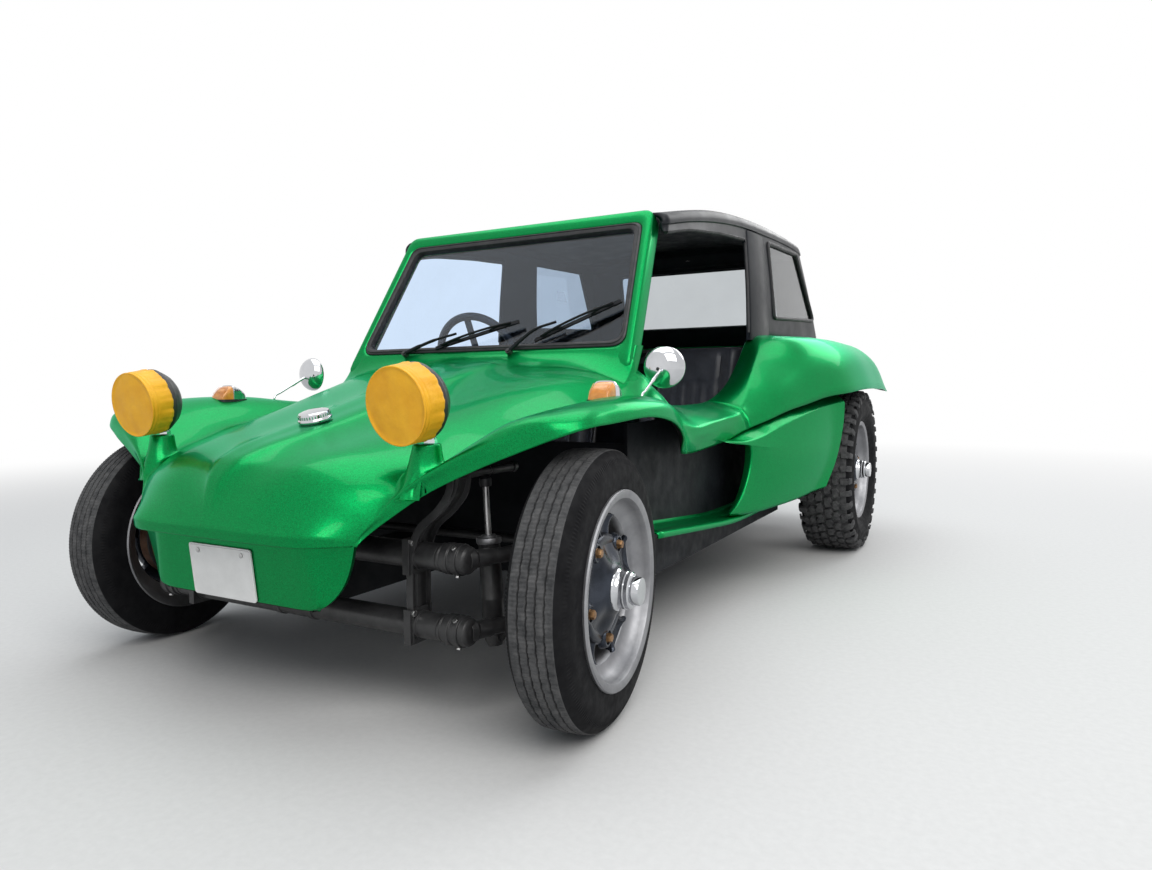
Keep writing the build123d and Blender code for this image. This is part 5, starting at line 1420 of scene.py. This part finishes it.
SEAT_X = .318
PLEATS = (-.128, -.084, -.042, 0, .042, .084, .128)
CUSHION_PLEATS = [(x, .1, .96) for x in PLEATS]
BACK_PLEATS = [(x, .04, .72) for x in PLEATS] + [(-.128, .72, .95), (.128, .72, .95)]
for sign, side in SIDES:
    cushion = Shape("seat")
    base = moved(sign * SEAT_X, 1.012, .318) @ spun("X", 4)
    seat_pad(cushion, base, .206, .47, .118, CUSHION_PLEATS, (.08,), .1, .012)
    obj = cushion.build(f"seat_cushion_{side}", slot="seat_vinyl", replaces=(f"seat_{side}",), sharp=70,
        weld=.0001)
    squab = Shape("seat")
    lean = moved(sign * SEAT_X, 1.478, .33) @ spun("X", 77)
    seat_pad(squab, lean, .206, .53, .1, BACK_PLEATS, (.72,), .08, .014)
    obj = squab.build(f"seat_back_{side}", slot="seat_vinyl", sharp=70, weld=.0001)
    frame_side = Shape("chassis")
    legs = (sign * SEAT_X - .195, sign * SEAT_X + .195)
    for x in legs:
        rail = ((1.03, .262), (1.25, .262), (1.44, .268), (1.505, .3), (1.545, .42), (1.58, .56))
        frame_side.tube(curve([(x, y, z) for y, z in rail], 5), .0105, 10)
    for y in (1.06, 1.42):
        frame_side.tube([(x, y, .262) for x in legs], .009, 10)
    frame_side.build(f"seat_frame_{side}", slot="chassis_black", sharp=50)


# Finishes of the solids that stay in view
FINISH = {
    "liner": ("lower_sides", "floor_pan", "rear_shelf", "dashboard"),
    "chassis": ("steering_column", "steering_box", "pitman_arm", "tie_rods", "knuckle_left", "knuckle_right",
                "rear_suspension", "rear_shocks", "fan_shroud", "crank_pulley", "exhaust"),
    "cast": ("transaxle", "engine"), "rubber": ("steering_wheel",), "steel": ("floor_levers",),
    "chrome": ("rear_bumper",), "red": ("rear_lamps",),
}
for finish, names in FINISH.items():
    for name in names:
        for slot in nodes[name].material_slots:
            slot.material = M[finish]


# Floor, light, camera
def seen_rays(tree):
    """1 for rays that should meet the plain backdrop: the camera's, mirrored ones and those through glass."""
    rays = tree.nodes.new("ShaderNodeLightPath")
    total = rays.outputs["Is Camera Ray"]
    for kind in ("Is Glossy Ray", "Is Transmission Ray"):
        node = tree.nodes.new("ShaderNodeMath")
        node.operation = "MAXIMUM"
        tree.links.new(total, node.inputs[0])
        tree.links.new(rays.outputs[kind], node.inputs[1])
        total = node.outputs[0]
    return total


def stage():
    size = 60.0
    mesh = bpy.data.meshes.new("stage_floor")
    mesh.from_pydata([(-size, -size, 0), (size, -size, 0), (size, size, 0), (-size, size, 0)], [],
        [(0, 1, 2, 3)])
    mat, tree, bsdf = node_material("pale_floor", Roughness=.9, Specular_IOR_Level=.2)
    ramp(tree, noise(tree, 60.0, 6.0), (.3, (.64, .635, .625)), (.7, (.68, .675, .665)),
        bsdf.inputs["Base Color"])
    # Far from the object the floor runs out into the white backdrop
    coord = tree.nodes.new("ShaderNodeTexCoord")
    far = tree.nodes.new("ShaderNodeVectorMath")
    far.operation = "LENGTH"
    tree.links.new(coord.outputs["Object"], far.inputs[0])
    spread = preset(tree.nodes.new("ShaderNodeMapRange"), From_Min=2.2, From_Max=7.5)
    spread.interpolation_type = "SMOOTHSTEP"
    tree.links.new(far.outputs["Value"], spread.inputs["Value"])
    share = tree.nodes.new("ShaderNodeMath")
    share.operation = "MULTIPLY"
    tree.links.new(spread.outputs["Result"], share.inputs[0])
    tree.links.new(seen_rays(tree), share.inputs[1])
    white = tree.nodes.new("ShaderNodeEmission")
    mix = tree.nodes.new("ShaderNodeMixShader")
    tree.links.new(share.outputs[0], mix.inputs["Fac"])
    tree.links.new(bsdf.outputs["BSDF"], mix.inputs[1])
    tree.links.new(white.outputs["Emission"], mix.inputs[2])
    tree.links.new(mix.outputs["Shader"], tree.nodes["Material Output"].inputs["Surface"])
    mesh.materials.append(mat)
    floor = put("stage_floor", mesh)


stage()

world = bpy.data.worlds.new("studio")
bpy.context.scene.world = world
world.use_nodes = True
tree = world.node_tree
background = preset(tree.nodes["Background"], Color=(.86, .92, 1.0, 1), Strength=.36)
backdrop = preset(tree.nodes.new("ShaderNodeBackground"), Color=(1, 1, 1, 1), Strength=1.0)
blend = tree.nodes.new("ShaderNodeMixShader")
tree.links.new(seen_rays(tree), blend.inputs["Fac"])
tree.links.new(background.outputs["Background"], blend.inputs[1])
tree.links.new(backdrop.outputs["Background"], blend.inputs[2])
tree.links.new(blend.outputs["Shader"], tree.nodes["World Output"].inputs["Surface"])


def area_light(name, place, target, size, power, color=(1, 1, 1)):
    data = bpy.data.lights.new(name, "AREA")
    data.shape = "RECTANGLE"
    data.size, data.size_y = size
    data.energy = power
    data.color = color
    light = put(name, data)
    light.location = place
    light.rotation_euler = (Vector(target) - Vector(place)).to_track_quat("-Z", "Y").to_euler()


area_light("key", (4.5, -4.5, 6.0), (0, 0, .5), (7, 5), 430, (1, .99, .97))
area_light("top", (-.5, .5, 6.5), (0, 0, .5), (6, 7), 250, (.95, .98, 1))
area_light("rear", (2.0, 6.0, 4.5), (0, 0, .6), (5, 3), 160)

camera_data = bpy.data.cameras.new("camera")
camera_data.sensor_fit = "HORIZONTAL"
FOCAL_PIXELS, PICTURE_WIDTH = 801.17, 1152
camera_data.sensor_width = 36.0
camera_data.lens = FOCAL_PIXELS / PICTURE_WIDTH * camera_data.sensor_width
camera = put("camera", camera_data)
yaw, pitch, roll = .5098, .0635, -.0105
right = vec(cos(yaw), sin(yaw), 0)
forward = vec(-sin(yaw) * cos(pitch), cos(yaw) * cos(pitch), -sin(pitch))
up = right.cross(forward)
r = right * cos(roll) + up * sin(roll)
u = up * cos(roll) - right * sin(roll)
camera.matrix_world = Matrix((
    (r.x, u.x, -forward.x, 1.4764), (r.y, u.y, -forward.y, -1.4551 + SHIFT),
    (r.z, u.z, -forward.z, .7128), (0, 0, 0, 1),
))
bpy.context.scene.camera = camera
bpy.context.scene.view_settings.view_transform = "Standard"
